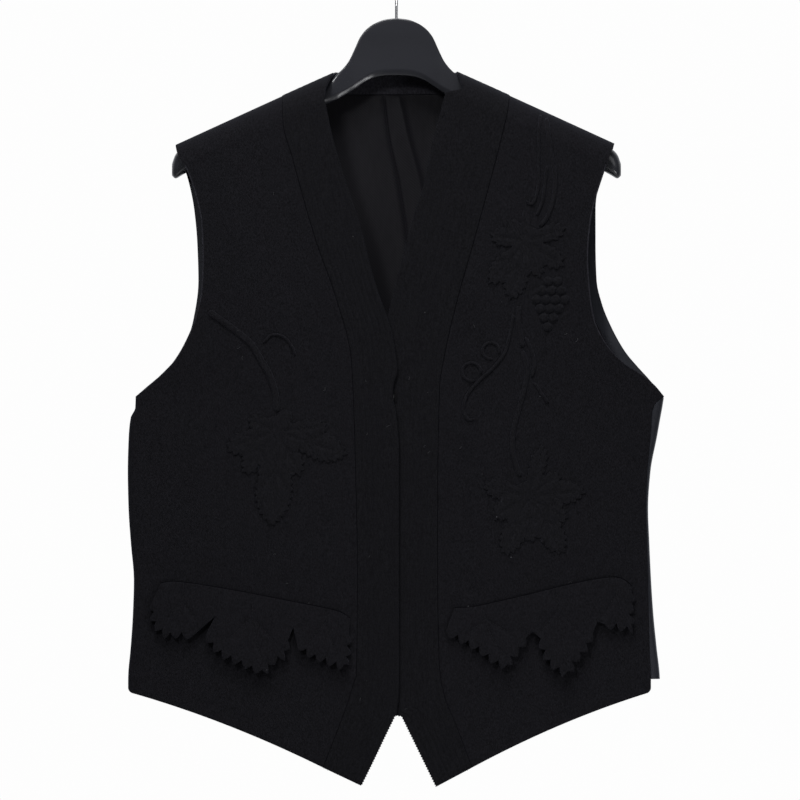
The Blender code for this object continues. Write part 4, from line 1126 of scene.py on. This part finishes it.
class Finish:
    """A material put together from nodes, in the vest's own coordinates."""

    def __init__(self, name):
        self.material = bpy.data.materials.new(name)
        self.material.use_nodes = True
        self.nodes = self.material.node_tree.nodes
        self.links = self.material.node_tree.links
        self.shader = self.nodes["Principled BSDF"]
        self.place = self.nodes.new("ShaderNodeTexCoord").outputs["Object"]

    def feed(self, node, key, value):
        """Link a socket to a node's input, or set the input's own value."""
        if isinstance(value, bpy.types.NodeSocket):
            self.links.new(value, node.inputs[key])
        else:
            node.inputs[key].default_value = value

    def add(self, kind, inputs=None, **settings):
        node = self.nodes.new(kind)
        for key, value in settings.items():
            setattr(node, key, value)
        for key, value in (inputs or {}).items():
            self.feed(node, key, value)
        return node

    def set(self, **sockets):
        """Even values, set on the shader's own sockets."""
        for key, value in sockets.items():
            self.shader.inputs[key.replace("_", " ")].default_value = value

    def noise(self, scale, detail=3.0, rough=0.6, stretch=(1, 1, 1), turn=0.0):
        place = self.place
        if stretch != (1, 1, 1) or turn:
            place = self.add(
                "ShaderNodeMapping", {"Vector": place, "Scale": stretch, "Rotation": (0, turn, 0)}
            ).outputs["Vector"]
        inputs = {"Vector": place, "Scale": scale, "Detail": detail, "Roughness": rough}
        return self.add("ShaderNodeTexNoise", inputs).outputs["Fac"]

    def spread(self, value, low, high, to_low, to_high):
        node = self.add(
            "ShaderNodeMapRange",
            {"Value": value, "From Min": low, "From Max": high, "To Min": to_low, "To Max": to_high},
        )
        return node.outputs["Result"]

    def mix(self, share, first, second):
        node = self.add("ShaderNodeMix", data_type="RGBA")
        for key, value in ((0, share), (6, first), (7, second)):
            self.feed(node, key, (*value, 1) if isinstance(value, tuple) else value)
        return node.outputs[2]

    def math(self, operation, a, b):
        node = self.add("ShaderNodeMath", operation=operation)
        for key, value in enumerate((a, b)):
            self.feed(node, key, value)
        return node.outputs[0]

    def colour(self, socket):
        self.links.new(socket, self.shader.inputs["Base Color"])

    def roughness(self, socket):
        self.links.new(socket, self.shader.inputs["Roughness"])

    def bump(self, height, strength, depth):
        node = self.add("ShaderNodeBump", {"Height": height, "Strength": strength, "Distance": depth})
        self.links.new(node.outputs["Normal"], self.shader.inputs["Normal"])


def shade(colour, factor):
    return tuple(channel * factor for channel in colour)


def wool(name, colour, sheen, specks):
    """Milled wool: a short nap in soft patches, with pale specks caught in it."""
    finish = Finish(name)
    patches = finish.noise(95, 3.0, 0.65)
    nap = finish.noise(880, 4.0, 0.75, (1, 1, 0.6))
    fibres = finish.noise(1900, 2.0, 0.6, (1, 1, 0.3), 0.6)
    tone = finish.mix(finish.spread(patches, 0.3, 0.7, 0, 1), shade(colour, 0.8), shade(colour, 1.22))
    deep = finish.mix(finish.spread(nap, 0.36, 0.64, 0, 1), shade(colour, 0.3), shade(colour, 1.9))
    tone = finish.mix(0.7, tone, deep)
    cells = finish.add("ShaderNodeTexVoronoi", {"Vector": finish.place, "Scale": 75.0, "Randomness": 1.0})
    chance = finish.add("ShaderNodeSeparateColor", {"Color": cells.outputs["Color"]}).outputs["Red"]
    rare = finish.math("GREATER_THAN", chance, 1 - specks)
    small = finish.math("LESS_THAN", cells.outputs["Distance"], 0.035)
    tone = finish.mix(finish.math("MULTIPLY", rare, small), tone, (0.09, 0.09, 0.095))
    finish.colour(tone)
    finish.roughness(finish.spread(nap, 0.3, 0.7, 0.88, 1.0))
    height = finish.math("ADD", finish.math("MULTIPLY", nap, 0.7), finish.math("MULTIPLY", fibres, 0.3))
    finish.bump(height, 0.55, 0.0008)
    finish.set(Specular_IOR_Level=0.06, Sheen_Weight=sheen, Sheen_Roughness=0.45, Sheen_Tint=(0.72, 0.76, 1.0, 1))
    return finish.material


def twill(name, colour):
    """Lining: fine diagonal ribs with a soft sheen."""
    finish = Finish(name)
    ribs = finish.add(
        "ShaderNodeTexWave",
        {"Vector": finish.place, "Scale": 240.0, "Distortion": 0.6, "Detail": 1.0, "Detail Scale": 3.0},
        bands_direction="DIAGONAL",
    ).outputs["Fac"]
    slub = finish.noise(260, 3.0, 0.6, (1, 1, 0.25))
    tone = finish.mix(finish.spread(ribs, 0.2, 0.8, 0, 1), shade(colour, 0.66), shade(colour, 1.36))
    finish.colour(finish.mix(finish.spread(slub, 0.35, 0.65, 0, 0.5), tone, shade(colour, 0.75)))
    finish.roughness(finish.spread(slub, 0.3, 0.7, 0.5, 0.68))
    height = finish.math("ADD", finish.math("MULTIPLY", ribs, 0.6), finish.math("MULTIPLY", slub, 0.4))
    finish.bump(height, 0.4, 0.0003)
    finish.set(Specular_IOR_Level=0.14, Sheen_Weight=0.06, Sheen_Roughness=0.35, Sheen_Tint=(0.75, 0.75, 1.0, 1))
    return finish.material


def smooth_cloth(name, colour):
    """The back's smooth cloth, with a bluish sheen and a tight plain weave."""
    finish = Finish(name)
    warp = finish.noise(900, 2.0, 0.5, (1, 1, 0.12))
    weft = finish.noise(900, 2.0, 0.5, (0.12, 1, 1))
    soft = finish.noise(40, 2.0)
    weave = finish.math("MULTIPLY", finish.math("ADD", warp, weft), 0.5)
    tone = finish.mix(finish.spread(weave, 0.35, 0.65, 0, 1), shade(colour, 0.8), shade(colour, 1.2))
    finish.colour(finish.mix(finish.spread(soft, 0.3, 0.7, 0, 0.35), tone, shade(colour, 1.35)))
    finish.roughness(finish.spread(weave, 0.3, 0.7, 0.42, 0.56))
    finish.bump(weave, 0.3, 0.0003)
    finish.set(Specular_IOR_Level=0.3, Sheen_Weight=0.15, Sheen_Roughness=0.3, Sheen_Tint=(0.65, 0.75, 1.0, 1))
    return finish.material


def moulded(name, colour):
    """Satin plastic with a fine moulded grain."""
    finish = Finish(name)
    flow = finish.noise(30, 2.0, 0.5, (0.3, 1, 1))
    grain = finish.noise(1500, 2.0)
    finish.colour(finish.mix(finish.spread(flow, 0.3, 0.7, 0, 1), shade(colour, 0.9), shade(colour, 1.1)))
    finish.roughness(finish.spread(grain, 0.3, 0.7, 0.2, 0.28))
    finish.bump(grain, 0.08, 0.0001)
    finish.set(Specular_IOR_Level=0.5)
    return finish.material


def plated(name, colour):
    """Plated wire with faint draw lines."""
    finish = Finish(name)
    lines = finish.noise(500, 3.0, 0.6, (1, 1, 0.05))
    finish.colour(finish.mix(lines, shade(colour, 0.85), shade(colour, 1.1)))
    finish.roughness(finish.spread(lines, 0.3, 0.7, 0.14, 0.28))
    finish.set(Metallic=1.0)
    return finish.material


def spun(name, colour, gloss=0.1, sheen=0.05):
    """Sewing thread: a twist of fine plies."""
    finish = Finish(name)
    plies = finish.noise(2600, 2.0, 0.5, (1, 1, 0.5), 0.7)
    finish.colour(finish.mix(finish.spread(plies, 0.3, 0.7, 0, 1), shade(colour, 0.7), shade(colour, 1.3)))
    finish.roughness(finish.spread(plies, 0.3, 0.7, 0.5, 0.7))
    finish.bump(plies, 0.4, 0.0001)
    finish.set(Specular_IOR_Level=gloss, Sheen_Weight=sheen)
    return finish.material


LOOKS = {}


def look(name):
    """A finish by name, made once from the user's colours."""
    colours = bpy.context.scene.vest_colours
    if name not in LOOKS:
        maker, *values = {
            "milled wool": (wool, colours.wool, 0.05, colours.lint),
            # Painted light: the facing's wool is paler, to lift the hanger's shadow from it
            "facing wool": (wool, shade(colours.wool, FACING_PAINTED_LIGHT), 0.10, colours.lint),
            # Painted highlight: paler wool on the armhole's turned edge, for the light that catches that rim
            "pressed wool": (wool, shade(colours.wool, RIM_HIGHLIGHT_PALER), 0.25, colours.lint),
            "quilted wool": (wool, colours.band, 0.05, colours.lint),
            "applique wool": (wool, colours.applique, 0.07, colours.lint),
            "back cloth": (smooth_cloth, colours.back),
            "twill lining": (twill, colours.lining),
            "hanger plastic": (moulded, colours.plastic),
            "plated wire": (plated, colours.metal),
            "quilting thread": (spun, colours.band),
            "vein thread": (spun, shade(colours.applique, 0.8), 0.05, 0.02),
            "dark wire": (plated, shade(colours.metal, 0.3)),
            # Painted shadow: matte dark thread laid in the seams
            "sunk seam": (spun, colours.seam, 0.0, 0.0),
            "pale lint": (spun, (0.08, 0.08, 0.085)),
        }[name]
        LOOKS[name] = maker(name, *values)
    return LOOKS[name]


# Settings


def length(name, description, default):
    return bpy.props.FloatProperty(
        name=name, description=description, default=default, min=0, unit="LENGTH", precision=5
    )


def power(name, description, default):
    return bpy.props.FloatProperty(name=name, description=description, default=default, min=0, unit="POWER")


def tint(name, description, default):
    return bpy.props.FloatVectorProperty(
        name=name, description=description, default=default, min=0, max=1, size=3, subtype="COLOR"
    )


class VestSizes(bpy.types.PropertyGroup):
    """Sizes of the sewing and the creases."""

    quilt_rows: bpy.props.IntProperty(
        name="Quilted channels", description="Channels of quilting across each band", default=8, min=2, max=14
    )
    quilt_depth: length("Quilting depth", "How far the wool puffs up between two rows of stitching", 0.0005)
    stitch_pitch: length("Stitch pitch", "From one stitch to the next", 0.0031)
    stitch_length: length("Stitch length", "Length of each stitch", 0.0021)
    thread: length("Thread", "Thickness of the sewing thread", 0.00055)
    edge_pitch: length("Edge teeth", "From one tooth to the next along the bands' edges", 0.0026)
    edge_depth: length("Edge depth", "How far the bands' teeth reach", 0.0009)
    creases: bpy.props.FloatProperty(
        name="Creases", description="Height of the cloth's soft creases", default=1.0, min=0, max=3,
        subtype="FACTOR",
    )


class VestColours(bpy.types.PropertyGroup):
    """Colours of the cloth, the thread and the hanger."""

    wool: tint("Wool", "Milled wool of the fronts and the flaps", (0.0080, 0.0078, 0.0094))
    band: tint("Bands", "Quilted wool of the front bands", (0.0074, 0.0073, 0.0086))
    applique: tint("Applique", "Wool of the leaves, the vines and the grapes", (0.0084, 0.0082, 0.0097))
    back: tint("Back", "Smooth cloth of the back", (0.013, 0.014, 0.019))
    lining: tint("Lining", "Twill inside the back", (0.0078, 0.0074, 0.0096))
    plastic: tint("Hanger", "Moulded plastic of the hanger", (0.0240, 0.0248, 0.0300))
    metal: tint("Wire", "Plated wire of the hook and the closure", (0.60, 0.60, 0.61))
    # The colour of the dark threads that paint the shadow in the seams
    seam: tint("Seam shadows", "Dark thread that paints the shadow in a seam", (0.0042, 0.0042, 0.0052))
    lint: bpy.props.FloatProperty(
        name="Lint", description="Share of the cloth's cells with a pale speck", default=0.05, min=0, max=1,
        subtype="FACTOR",
    )


class StageSettings(bpy.types.PropertyGroup):
    """The floor and the studio's light."""

    floor_radius: length("Floor radius", "Radius of the pale floor", 0.85)
    floor_drop: length("Floor drop", "How far the floor lies below the hook", -FLOOR_Z)
    key: power("Key light", "Power of the main light", 24.0)
    fill: power("Fill light", "Power of the soft light on the other side", 8.0)
    top: power("Top light", "Power of the light from above", 26.0)
    low: power("Low light", "Power of the small light in front and below", 2.0)
    surround: bpy.props.FloatProperty(
        name="Surround", description="Strength of the room's own light in front", default=0.09, min=0
    )
    backdrop: bpy.props.FloatProperty(
        name="Backdrop", description="Strength of the white backdrop behind", default=0.9, min=0
    )


# Operators


class VEST_OT_fronts(bpy.types.Operator):
    """Cut the two wool fronts."""

    bl_idname = "vest.fronts"
    bl_label = "Fronts"

    def execute(self, context):
        for side, (_, seam, outer) in edges_of_fronts().items():
            x, z = front_grid(seam, outer, -1 if side == "left" else 1, 0.0 if side == "left" else SEAM_GAP / 2)
            relief = front_relief(x, z, seam[:, :1])
            name = f"front_{side}"
            mesh = cloth_wall(x, z, -1, relief, FRONT_WALL)
            piece = new_piece(name + "_cloth", *mesh, look("milled wool"), "milled_wool", (name,), EDGE_ROUND)
            self.press(piece, *x.shape)
        return {"FINISHED"}

    def press(self, piece, rows, columns):
        """Paint a highlight on the armhole's turned edge: its outer faces get paler, glossier wool in place of
        the light that catches that rim.
        """
        piece.data.materials.append(look("pressed wool"))
        across = columns - 1
        for row in range(len(ROLL_TURNS) - 1, len(ROLL_TURNS) - 1 + ARMHOLE_STEPS * ROWS_IN_ARMHOLE):
            edge = [row * across + across - step for step in range(1, RIM_HIGHLIGHT_COLUMNS + 1)]
            rim = 2 * (rows - 1) * across + across + row
            for face in (*edge, rim):
                piece.data.polygons[face].material_index = 1


class VEST_OT_bands(bpy.types.Operator):
    """Cut the two front bands and quilt them in close rows."""

    bl_idname = "vest.bands"
    bl_label = "Front bands"

    def execute(self, context):
        sizes = context.scene.vest_sizes
        rows, depth = sizes.quilt_rows, sizes.quilt_depth / MM
        for side, (free, seam, _) in edges_of_fronts().items():
            lap = side == "left"
            name = f"band_{side}"
            shares = np.linspace(0, 1, rows * QUILT_COLUMNS + 1)
            x, z = band_grid(free, seam, shares)
            outer = cloth_points(x, z, -1, band_height(shares[None], z, rows, depth), lap)
            inner = cloth_points(x, z, -1, -BAND_WALL, lap)
            new_piece(
                name + "_cloth", *wall(outer, inner), look("quilted wool"), "band_wool", (name,), 0.35
            )
            self.sew(sizes, name, free, seam, lap)
            self.trim(sizes, name, free, lap)
        return {"FINISHED"}

    def sew(self, sizes, name, free, seam, lap):
        rows, thread = sizes.quilt_rows, sizes.thread / MM
        lines = np.clip(np.arange(rows + 1) / rows, 0.022, 0.978)
        x, z = band_grid(free, seam, lines)
        paths = []
        for share, row_x, row_z in zip(lines, x.T, z.T):
            out = band_height(share, row_z, rows, sizes.quilt_depth / MM) - thread * 0.2
            paths.append(cloth_points(row_x, row_z, -1, out, lap))
        mesh = stitches(paths, sizes.stitch_pitch / MM, sizes.stitch_length / MM, thread, lap)
        new_piece(name + "_stitching", *mesh, look("quilting thread"), "band_wool")
        # A dark thread along the seam, as painted shadow in the seam
        path = cloth_points(seam[:, 0], seam[:, 1], -1, BAND_SEAM_SHADOW_OUT, lap)
        mesh = tube(path, BAND_SEAM_SHADOW_WIDTH / 2, 6)
        new_piece(name + "_seam", *mesh, look("sunk seam"), "band_wool")

    def trim(self, sizes, name, free, lap):
        path = free[len(ROLL_TURNS) - 1 :]
        if lap:
            path = path[::-1]
        points, faces = teeth(path, lap, sizes.edge_pitch / MM, sizes.edge_depth / MM, BAND_PROUD - 0.5, 0.9)
        new_piece(name + "_teeth", points, faces, look("quilted wool"), "band_wool")


class VEST_OT_back(bpy.types.Operator):
    """Cut the back, its neck facing and its pleated lining."""

    bl_idname = "vest.back"
    bl_label = "Back and lining"

    def execute(self, context):
        height = context.scene.vest_sizes.creases
        x, z, face = back_grid()
        relief = creased(x, z, BACK_CREASES, height) * (face > 0)
        relief *= blend(np.minimum(x - x[:, :1], x.max(axis=1, keepdims=True) - x), 0.0, 18.0)
        relief *= blend(back_top(x) - z, 2.0, 30.0)
        mesh = cloth_wall(x, z, face, relief, BACK_WALL)
        new_piece("back_cloth", *mesh, look("back cloth"), "back_cloth", ("back",), 0.35)
        z = np.linspace(FACING_TOP_Z, FACING_LOW_Z, 12)[:, None]
        x = np.linspace(-FACING_HALF, FACING_HALF, 40)[None]
        x, z = np.broadcast_arrays(x, z)
        mesh = cloth_wall(x, z, 1, -(BACK_WALL + FACING_GAP), FACING_WALL)
        # The facing's wool is painted lighter against the hanger's shadow
        new_piece(
            "neck_facing_cloth", *mesh, look("facing wool"), "milled_wool", ("neck_facing",), 0.35
        )
        x, z, lift = lining_grid(LINING_ROWS)
        relief = np.maximum(creased(x, z, LINING_CREASES, height), -0.3) * blend(z.max() - z, 0.0, 14.0)
        depth = BACK_WALL + LINING_GAP + lift + np.maximum(relief, 0)
        mesh = cloth_wall(x, z, 1, -depth, LINING_WALL)
        new_piece(
            "back_lining_cloth", *mesh, look("twill lining"), "twill_lining", ("back_lining",)
        )
        return {"FINISHED"}


class VEST_OT_flaps(bpy.types.Operator):
    """Cut the two pocket flaps as rows of toothed leaves."""

    bl_idname = "vest.flaps"
    bl_label = "Pocket flaps"

    def execute(self, context):
        for name, seam, leaves, slits, veins in (
            ("flap_left", LEFT_FLAP_SEAM, LEFT_FLAP_LEAVES, LEFT_FLAP_SLITS, LEFT_FLAP_VEINS),
            ("flap_right", RIGHT_FLAP_SEAM, RIGHT_FLAP_LEAVES, RIGHT_FLAP_SLITS, RIGHT_FLAP_VEINS),
        ):
            top = table_lines(seam)[0]

            def stand(x, z):
                return APPLIQUE_GAP + FLAP_STAND * np.maximum((top(x) - z) / FLAP_DROP, 0.0)

            def downwards(point):
                return 1.0, np.array([0.0, -1.0])

            lower = [[seam[0]]]
            for leaf, slit in zip(leaves, slits + (seam[-1],)):
                edge = toothed(flowing(leaf, 2.0), FLAP_TOOTH_PITCH, FLAP_TOOTH_DEPTH, downwards)
                lower += [edge, [leaf[-1], slit]]
            outline = np.concatenate(lower + [flowing(seam, 6.0)[-2:0:-1]])
            piece, lines = cut_out(
                name, outline, [np.array(vein, float) for vein in veins], stand, FLAP_WALL, look("milled wool"),
                "milled_wool",
            )
            vein_stitches(context, name, lines)
            # A dark thread along the flap's seam, as painted shadow where the flap comes out of the front
            line = flowing(seam, 3.0) + (0.0, FLAP_SEAM_SHADOW_RISE)
            path = on_front(line[:, 0], line[:, 1], FLAP_SEAM_SHADOW_OUT)
            mesh = tube(path, FLAP_SEAM_SHADOW_WIDTH / 2, 8)
            new_piece(name + "_seam", *mesh, look("sunk seam"), "milled_wool")
        return {"FINISHED"}


class VEST_OT_applique(bpy.types.Operator):
    """Cut the vine's leaves, stems and tendrils, and the bunch of grapes."""

    bl_idname = "vest.applique"
    bl_label = "Vine applique"

    def execute(self, context):
        wool_look = look("applique wool")
        for name, (centre, lobes) in LEAVES.items():
            piece, lines = cut_out(
                name, leaf_outline(centre, lobes), leaf_veins(centre, lobes), lambda x, z: APPLIQUE_GAP + 0 * x,
                APPLIQUE_WALL, wool_look, "applique_wool",
            )
            vein_stitches(context, name, lines)
        for name, (width, points) in STRANDS.items():
            mesh = strand_mesh(width, flowing(points, STRAND_STEP))
            new_piece(name + "_strip", *mesh, wool_look, "applique_wool", (name,))
        for name, (centre, radius, start, sweep) in CURLS.items():
            turns = np.radians(start + sweep * np.arange(49) / 48)
            path = np.array(centre) + radius * np.stack([np.cos(turns), np.sin(turns)], axis=-1)
            new_piece(
                name + "_strip", *strand_mesh(CURL_WIDTH, path), wool_look, "applique_wool", (name,)
            )
        meshes, nodes = [], []
        for j, count in enumerate(GRAPE_ROWS):
            for k in range(count):
                nodes.append(f"grape_{len(nodes) + 1:02d}")
                x = BUNCH_TOP[0] + (k - (count - 1) / 2) * GRAPE_PITCH + BUNCH_LEAN * j
                meshes.append(grape_mesh(x, BUNCH_TOP[1] - GRAPE_RISE * j))
        bunch = new_piece("grapes_padded", *joined(meshes), wool_look, "applique_wool", nodes)
        return {"FINISHED"}


def vein_stitches(context, name, lines):
    """A row of stitches along each of a leaf's veins."""
    sizes = context.scene.vest_sizes
    thread = sizes.thread / MM
    mesh = stitches(lines, sizes.stitch_pitch / MM, sizes.stitch_length / MM, thread * 1.2)
    new_piece(name + "_veins", *mesh, look("vein thread"), "applique_wool")


class VEST_OT_closure(bpy.types.Operator):
    """Bend the closure's hook, and work the thread bar that it catches."""

    bl_idname = "vest.closure"
    bl_label = "Closure"

    def execute(self, context):
        y = float(cloth_y(np.array(CLOSURE_BEND_X), np.array(CLOSURE_Z), -1))
        y -= BAND_PROUD + CLOSURE_QUILT + CLOSURE_GAP + CLOSURE_WIRE / 2
        turns = np.radians(np.arange(90, -91, -10))
        bend = np.stack([
            CLOSURE_BEND_X - CLOSURE_BEND + CLOSURE_BEND * np.cos(turns),
            np.full(len(turns), y),
            CLOSURE_Z + CLOSURE_BEND * np.sin(turns),
        ], axis=-1)
        roots = [np.array([[CLOSURE_ROOT_X, y, CLOSURE_Z + sign * CLOSURE_BEND]]) for sign in (1, -1)]
        path = np.concatenate([roots[0], bend, roots[1]])
        mesh = tube(path, CLOSURE_WIRE / 2, 12)
        new_piece("closure_wire", *mesh, look("dark wire"), "hook_metal", ("closure_hook",))
        strands = []
        for shift in BAR_STRANDS:
            share = np.linspace(-1, 1, 17)
            x = BAR_X + shift + 0.15 * np.sin(share * 5)
            out = BAND_PROUD - 0.2 + BAR_RISE * (1 - share**4)
            strands.append(tube(cloth_points(x, CLOSURE_Z + BAR_HALF * share, -1, out), BAR_THREAD / 2, 8))
        new_piece("thread_bar", *joined(strands), look("vein thread"), "band_wool")
        return {"FINISHED"}


class VEST_OT_hanger(bpy.types.Operator):
    """Mould the hanger and bend its hook."""

    bl_idname = "vest.hanger"
    bl_label = "Hanger"

    def execute(self, context):
        lines = table_lines(HANGER_ROWS)
        spans = ((0, 60, 31), (60, 190, 27), (190, 209, 17))
        reach = np.unique(np.concatenate([np.linspace(*span) for span in spans]))
        stations = np.concatenate([-reach[:0:-1], reach])
        points = []
        for x in stations:
            top, low, half = [float(line(abs(x))) for line in lines]
            fit = min(1.0, half / HANGER_FULL_HALF, (top - low) / HANGER_FULL_HEIGHT)
            right = [(half - fit * side, top - fit * end) for side, end in HANGER_UPPER_CORNER]
            right += [(half - fit * side, low + fit * end) for side, end in HANGER_LOWER_CORNER]
            turns = np.radians(np.linspace(HANGER_ROUND_TURN, -HANGER_ROUND_TURN, len(right)))
            arm = np.sign(turns) * np.abs(np.sin(turns)) ** HANGER_ROUND_POWER * (top - low) / 2 + (top + low) / 2
            arm = np.stack([half * np.cos(turns) ** HANGER_ROUND_POWER, arm], axis=-1)
            covered = np.clip((abs(x) - HANGER_ROUND_FROM) / HANGER_ROUND_OVER, 0, 1)
            right = (1 - covered) * np.array(right) + covered * arm
            points.append([(x, y, z) for y, z in right] + [(x, -y, z) for y, z in right[::-1]])
        faces, first, last = ring_faces(len(points), len(points[0]))
        new_piece(
            "hanger_moulding", np.concatenate(points), faces + [first, last], look("hanger plastic"),
            "hanger_plastic", ("hanger_body",), 1.0,
        )
        radius = HOOK_INNER_RADIUS + HOOK_WIRE / 2
        turns = np.radians(np.arange(HOOK_FIRST_TURN, HOOK_LAST_TURN - 1, HOOK_TURN_STEP))
        bend = np.stack([0 * turns, radius * np.cos(turns), radius * np.sin(turns) - HOOK_INNER_RADIUS], axis=-1)
        neck = flowing([(0.0, y, z) for y, z in HOOK_NECK], 2.0)
        mesh = tube(np.concatenate([bend, neck]), HOOK_WIRE / 2, 20)
        new_piece("hanger_wire_hook", *mesh, look("plated wire"), "hook_metal", ("hanger_hook",))
        return {"FINISHED"}


class VEST_OT_lint(bpy.types.Operator):
    """Catch a little pale lint in the fronts and the bands."""

    bl_idname = "vest.lint"
    bl_label = "Lint"

    def execute(self, context):
        draw = np.random.default_rng(LINT_SEED)
        edges = edges_of_fronts()
        hairs = []
        for k in range(LINT_COUNT):
            side = "left" if k % 2 else "right"
            free, seam, outer = edges[side]
            row = int(draw.integers(LINT_ROWS_LEFT_OUT[0], len(free) - LINT_ROWS_LEFT_OUT[1]))
            share = draw.uniform(*LINT_SHARES)
            start, end = (free, seam) if k % 3 == 0 else (seam, outer)
            spot = start[row] + (end[row] - start[row]) * share
            size, turn = draw.uniform(*LINT_LENGTH), draw.uniform(0, math.pi)
            bend = draw.uniform(-1.0, 1.0)
            s = np.linspace(-0.5, 0.5, 6)
            way, cross = np.array([math.cos(turn), math.sin(turn)]), np.array([-math.sin(turn), math.cos(turn)])
            path = spot + size * (s[:, None] * way + bend * (s**2)[:, None] * cross)
            if k % 3 == 0:
                spots = cloth_points(path[:, 0], path[:, 1], -1, BAND_PROUD + LINT_ON_BAND, side == "left")
            else:
                spots = on_front(*path.T, LINT_ON_FRONT)
            hairs.append(tube(spots, LINT_RADIUS, 5))
        new_piece("lint", *joined(hairs), look("pale lint"), "milled_wool")
        return {"FINISHED"}


class VEST_OT_cuts(bpy.types.Operator):
    """A step that does nothing."""

    bl_idname = "vest.cuts"
    bl_label = "Flat cuts"

    def execute(self, context):
        return {"FINISHED"}


class VEST_OT_stage(bpy.types.Operator):
    """Lay the pale floor, set the soft lights and place the camera."""

    bl_idname = "vest.stage"
    bl_label = "Stage"

    def execute(self, context):
        scene, stage = context.scene, context.scene.vest_stage
        mesh = bpy.data.meshes.new("floor")
        build = bmesh.new()
        bmesh.ops.create_circle(build, cap_ends=True, segments=96, radius=stage.floor_radius)
        build.to_mesh(mesh)
        build.free()
        floor = bpy.data.objects.new("floor", mesh)
        floor.location.z = -stage.floor_drop
        scene.collection.objects.link(floor)
        paint = Finish("pale floor")
        grain = paint.noise(6, 3.0)
        paint.colour(paint.mix(grain, (0.74, 0.74, 0.74), (0.80, 0.80, 0.80)))
        paint.set(Roughness=0.9, Specular_IOR_Level=0.1)
        mesh.materials.append(paint.material)
        for name, (place, size) in LAMPS.items():
            self.light(name + "_light", place, size, getattr(stage, name))
        self.surround(scene, stage.surround, stage.backdrop)
        self.camera(scene)
        return {"FINISHED"}

    def light(self, name, place, size, power):
        lamp = bpy.data.lights.new(name, "AREA")
        lamp.shape = "DISK"
        lamp.size = size
        lamp.energy = power
        lamp.color = (0.98, 0.985, 1.0)
        held = bpy.data.objects.new(name, lamp)
        held.location = place
        aim = Vector((VIEW_CENTRE[0] * MM, 0, VIEW_CENTRE[1] * MM)) - held.location
        held.rotation_euler = aim.to_track_quat("-Z", "Y").to_euler()
        bpy.context.scene.collection.objects.link(held)

    def surround(self, scene, strength, backdrop):
        """A dim room in front, and a bright white backdrop behind."""
        world = bpy.data.worlds.new("pale room")
        scene.world = world
        world.use_nodes = True
        nodes, links = world.node_tree.nodes, world.node_tree.links
        room = nodes["Background"]
        room.inputs["Color"].default_value = (0.94, 0.96, 1.0, 1)
        way = nodes.new("ShaderNodeSeparateXYZ")
        links.new(nodes.new("ShaderNodeTexCoord").outputs["Generated"], way.inputs[0])
        share = nodes.new("ShaderNodeMapRange")
        share.interpolation_type = "SMOOTHSTEP"
        for key, value in (("From Min", -0.1), ("From Max", 0.7), ("To Min", strength), ("To Max", backdrop)):
            share.inputs[key].default_value = value
        links.new(way.outputs["Y"], share.inputs["Value"])
        links.new(share.outputs["Result"], room.inputs["Strength"])
        seen = nodes.new("ShaderNodeBackground")
        seen.inputs["Color"].default_value = (0.985, 0.985, 0.985, 1)
        path = nodes.new("ShaderNodeLightPath")
        choose = nodes.new("ShaderNodeMixShader")
        links.new(path.outputs["Is Camera Ray"], choose.inputs[0])
        links.new(room.outputs[0], choose.inputs[1])
        links.new(seen.outputs[0], choose.inputs[2])
        links.new(choose.outputs[0], nodes["World Output"].inputs["Surface"])

    def camera(self, scene):
        data = bpy.data.cameras.new("camera")
        data.sensor_width = SENSOR
        data.lens = SENSOR * VIEW_DISTANCE / (VIEW_WIDTH * MM)
        data.clip_start, data.clip_end = 0.1, 100
        camera = bpy.data.objects.new("camera", data)
        camera.location = (VIEW_CENTRE[0] * MM, VIEW_PLANE_Y * MM - VIEW_DISTANCE, VIEW_CENTRE[1] * MM)
        camera.rotation_euler = (math.pi / 2, 0, 0)
        scene.collection.objects.link(camera)
        scene.camera = camera
        scene.view_settings.view_transform = "Standard"


class VEST_PT_panel(bpy.types.Panel):
    """The vest's settings and steps."""

    bl_idname = "VEST_PT_panel"
    bl_label = "Vest on a Hanger"
    bl_space_type = "VIEW_3D"
    bl_region_type = "UI"
    bl_category = "Vest"

    def draw(self, context):
        layout = self.layout
        for group in (context.scene.vest_sizes, context.scene.vest_colours, context.scene.vest_stage):
            box = layout.box()
            for key in group.bl_rna.properties.keys():
                if key not in ("rna_type", "name"):
                    box.prop(group, key)
        for step in STEPS:
            layout.operator(step.bl_idname)


STEPS = (
    VEST_OT_stage,
    VEST_OT_hanger,
    VEST_OT_back,
    VEST_OT_fronts,
    VEST_OT_bands,
    VEST_OT_flaps,
    VEST_OT_applique,
    VEST_OT_closure,
    VEST_OT_lint,
    VEST_OT_cuts,
)
CLASSES = (VestSizes, VestColours, StageSettings, *STEPS, VEST_PT_panel)


def register():
    for item in CLASSES:
        bpy.utils.register_class(item)
    bpy.types.Scene.vest_sizes = bpy.props.PointerProperty(type=VestSizes)
    bpy.types.Scene.vest_colours = bpy.props.PointerProperty(type=VestColours)
    bpy.types.Scene.vest_stage = bpy.props.PointerProperty(type=StageSettings)


def unregister():
    del bpy.types.Scene.vest_stage
    del bpy.types.Scene.vest_colours
    del bpy.types.Scene.vest_sizes
    for item in reversed(CLASSES):
        bpy.utils.unregister_class(item)


def main():
    register()
    for step in STEPS:
        group, name = step.bl_idname.split(".")
        getattr(getattr(bpy.ops, group), name)()


if __name__ == "__main__":
    main()
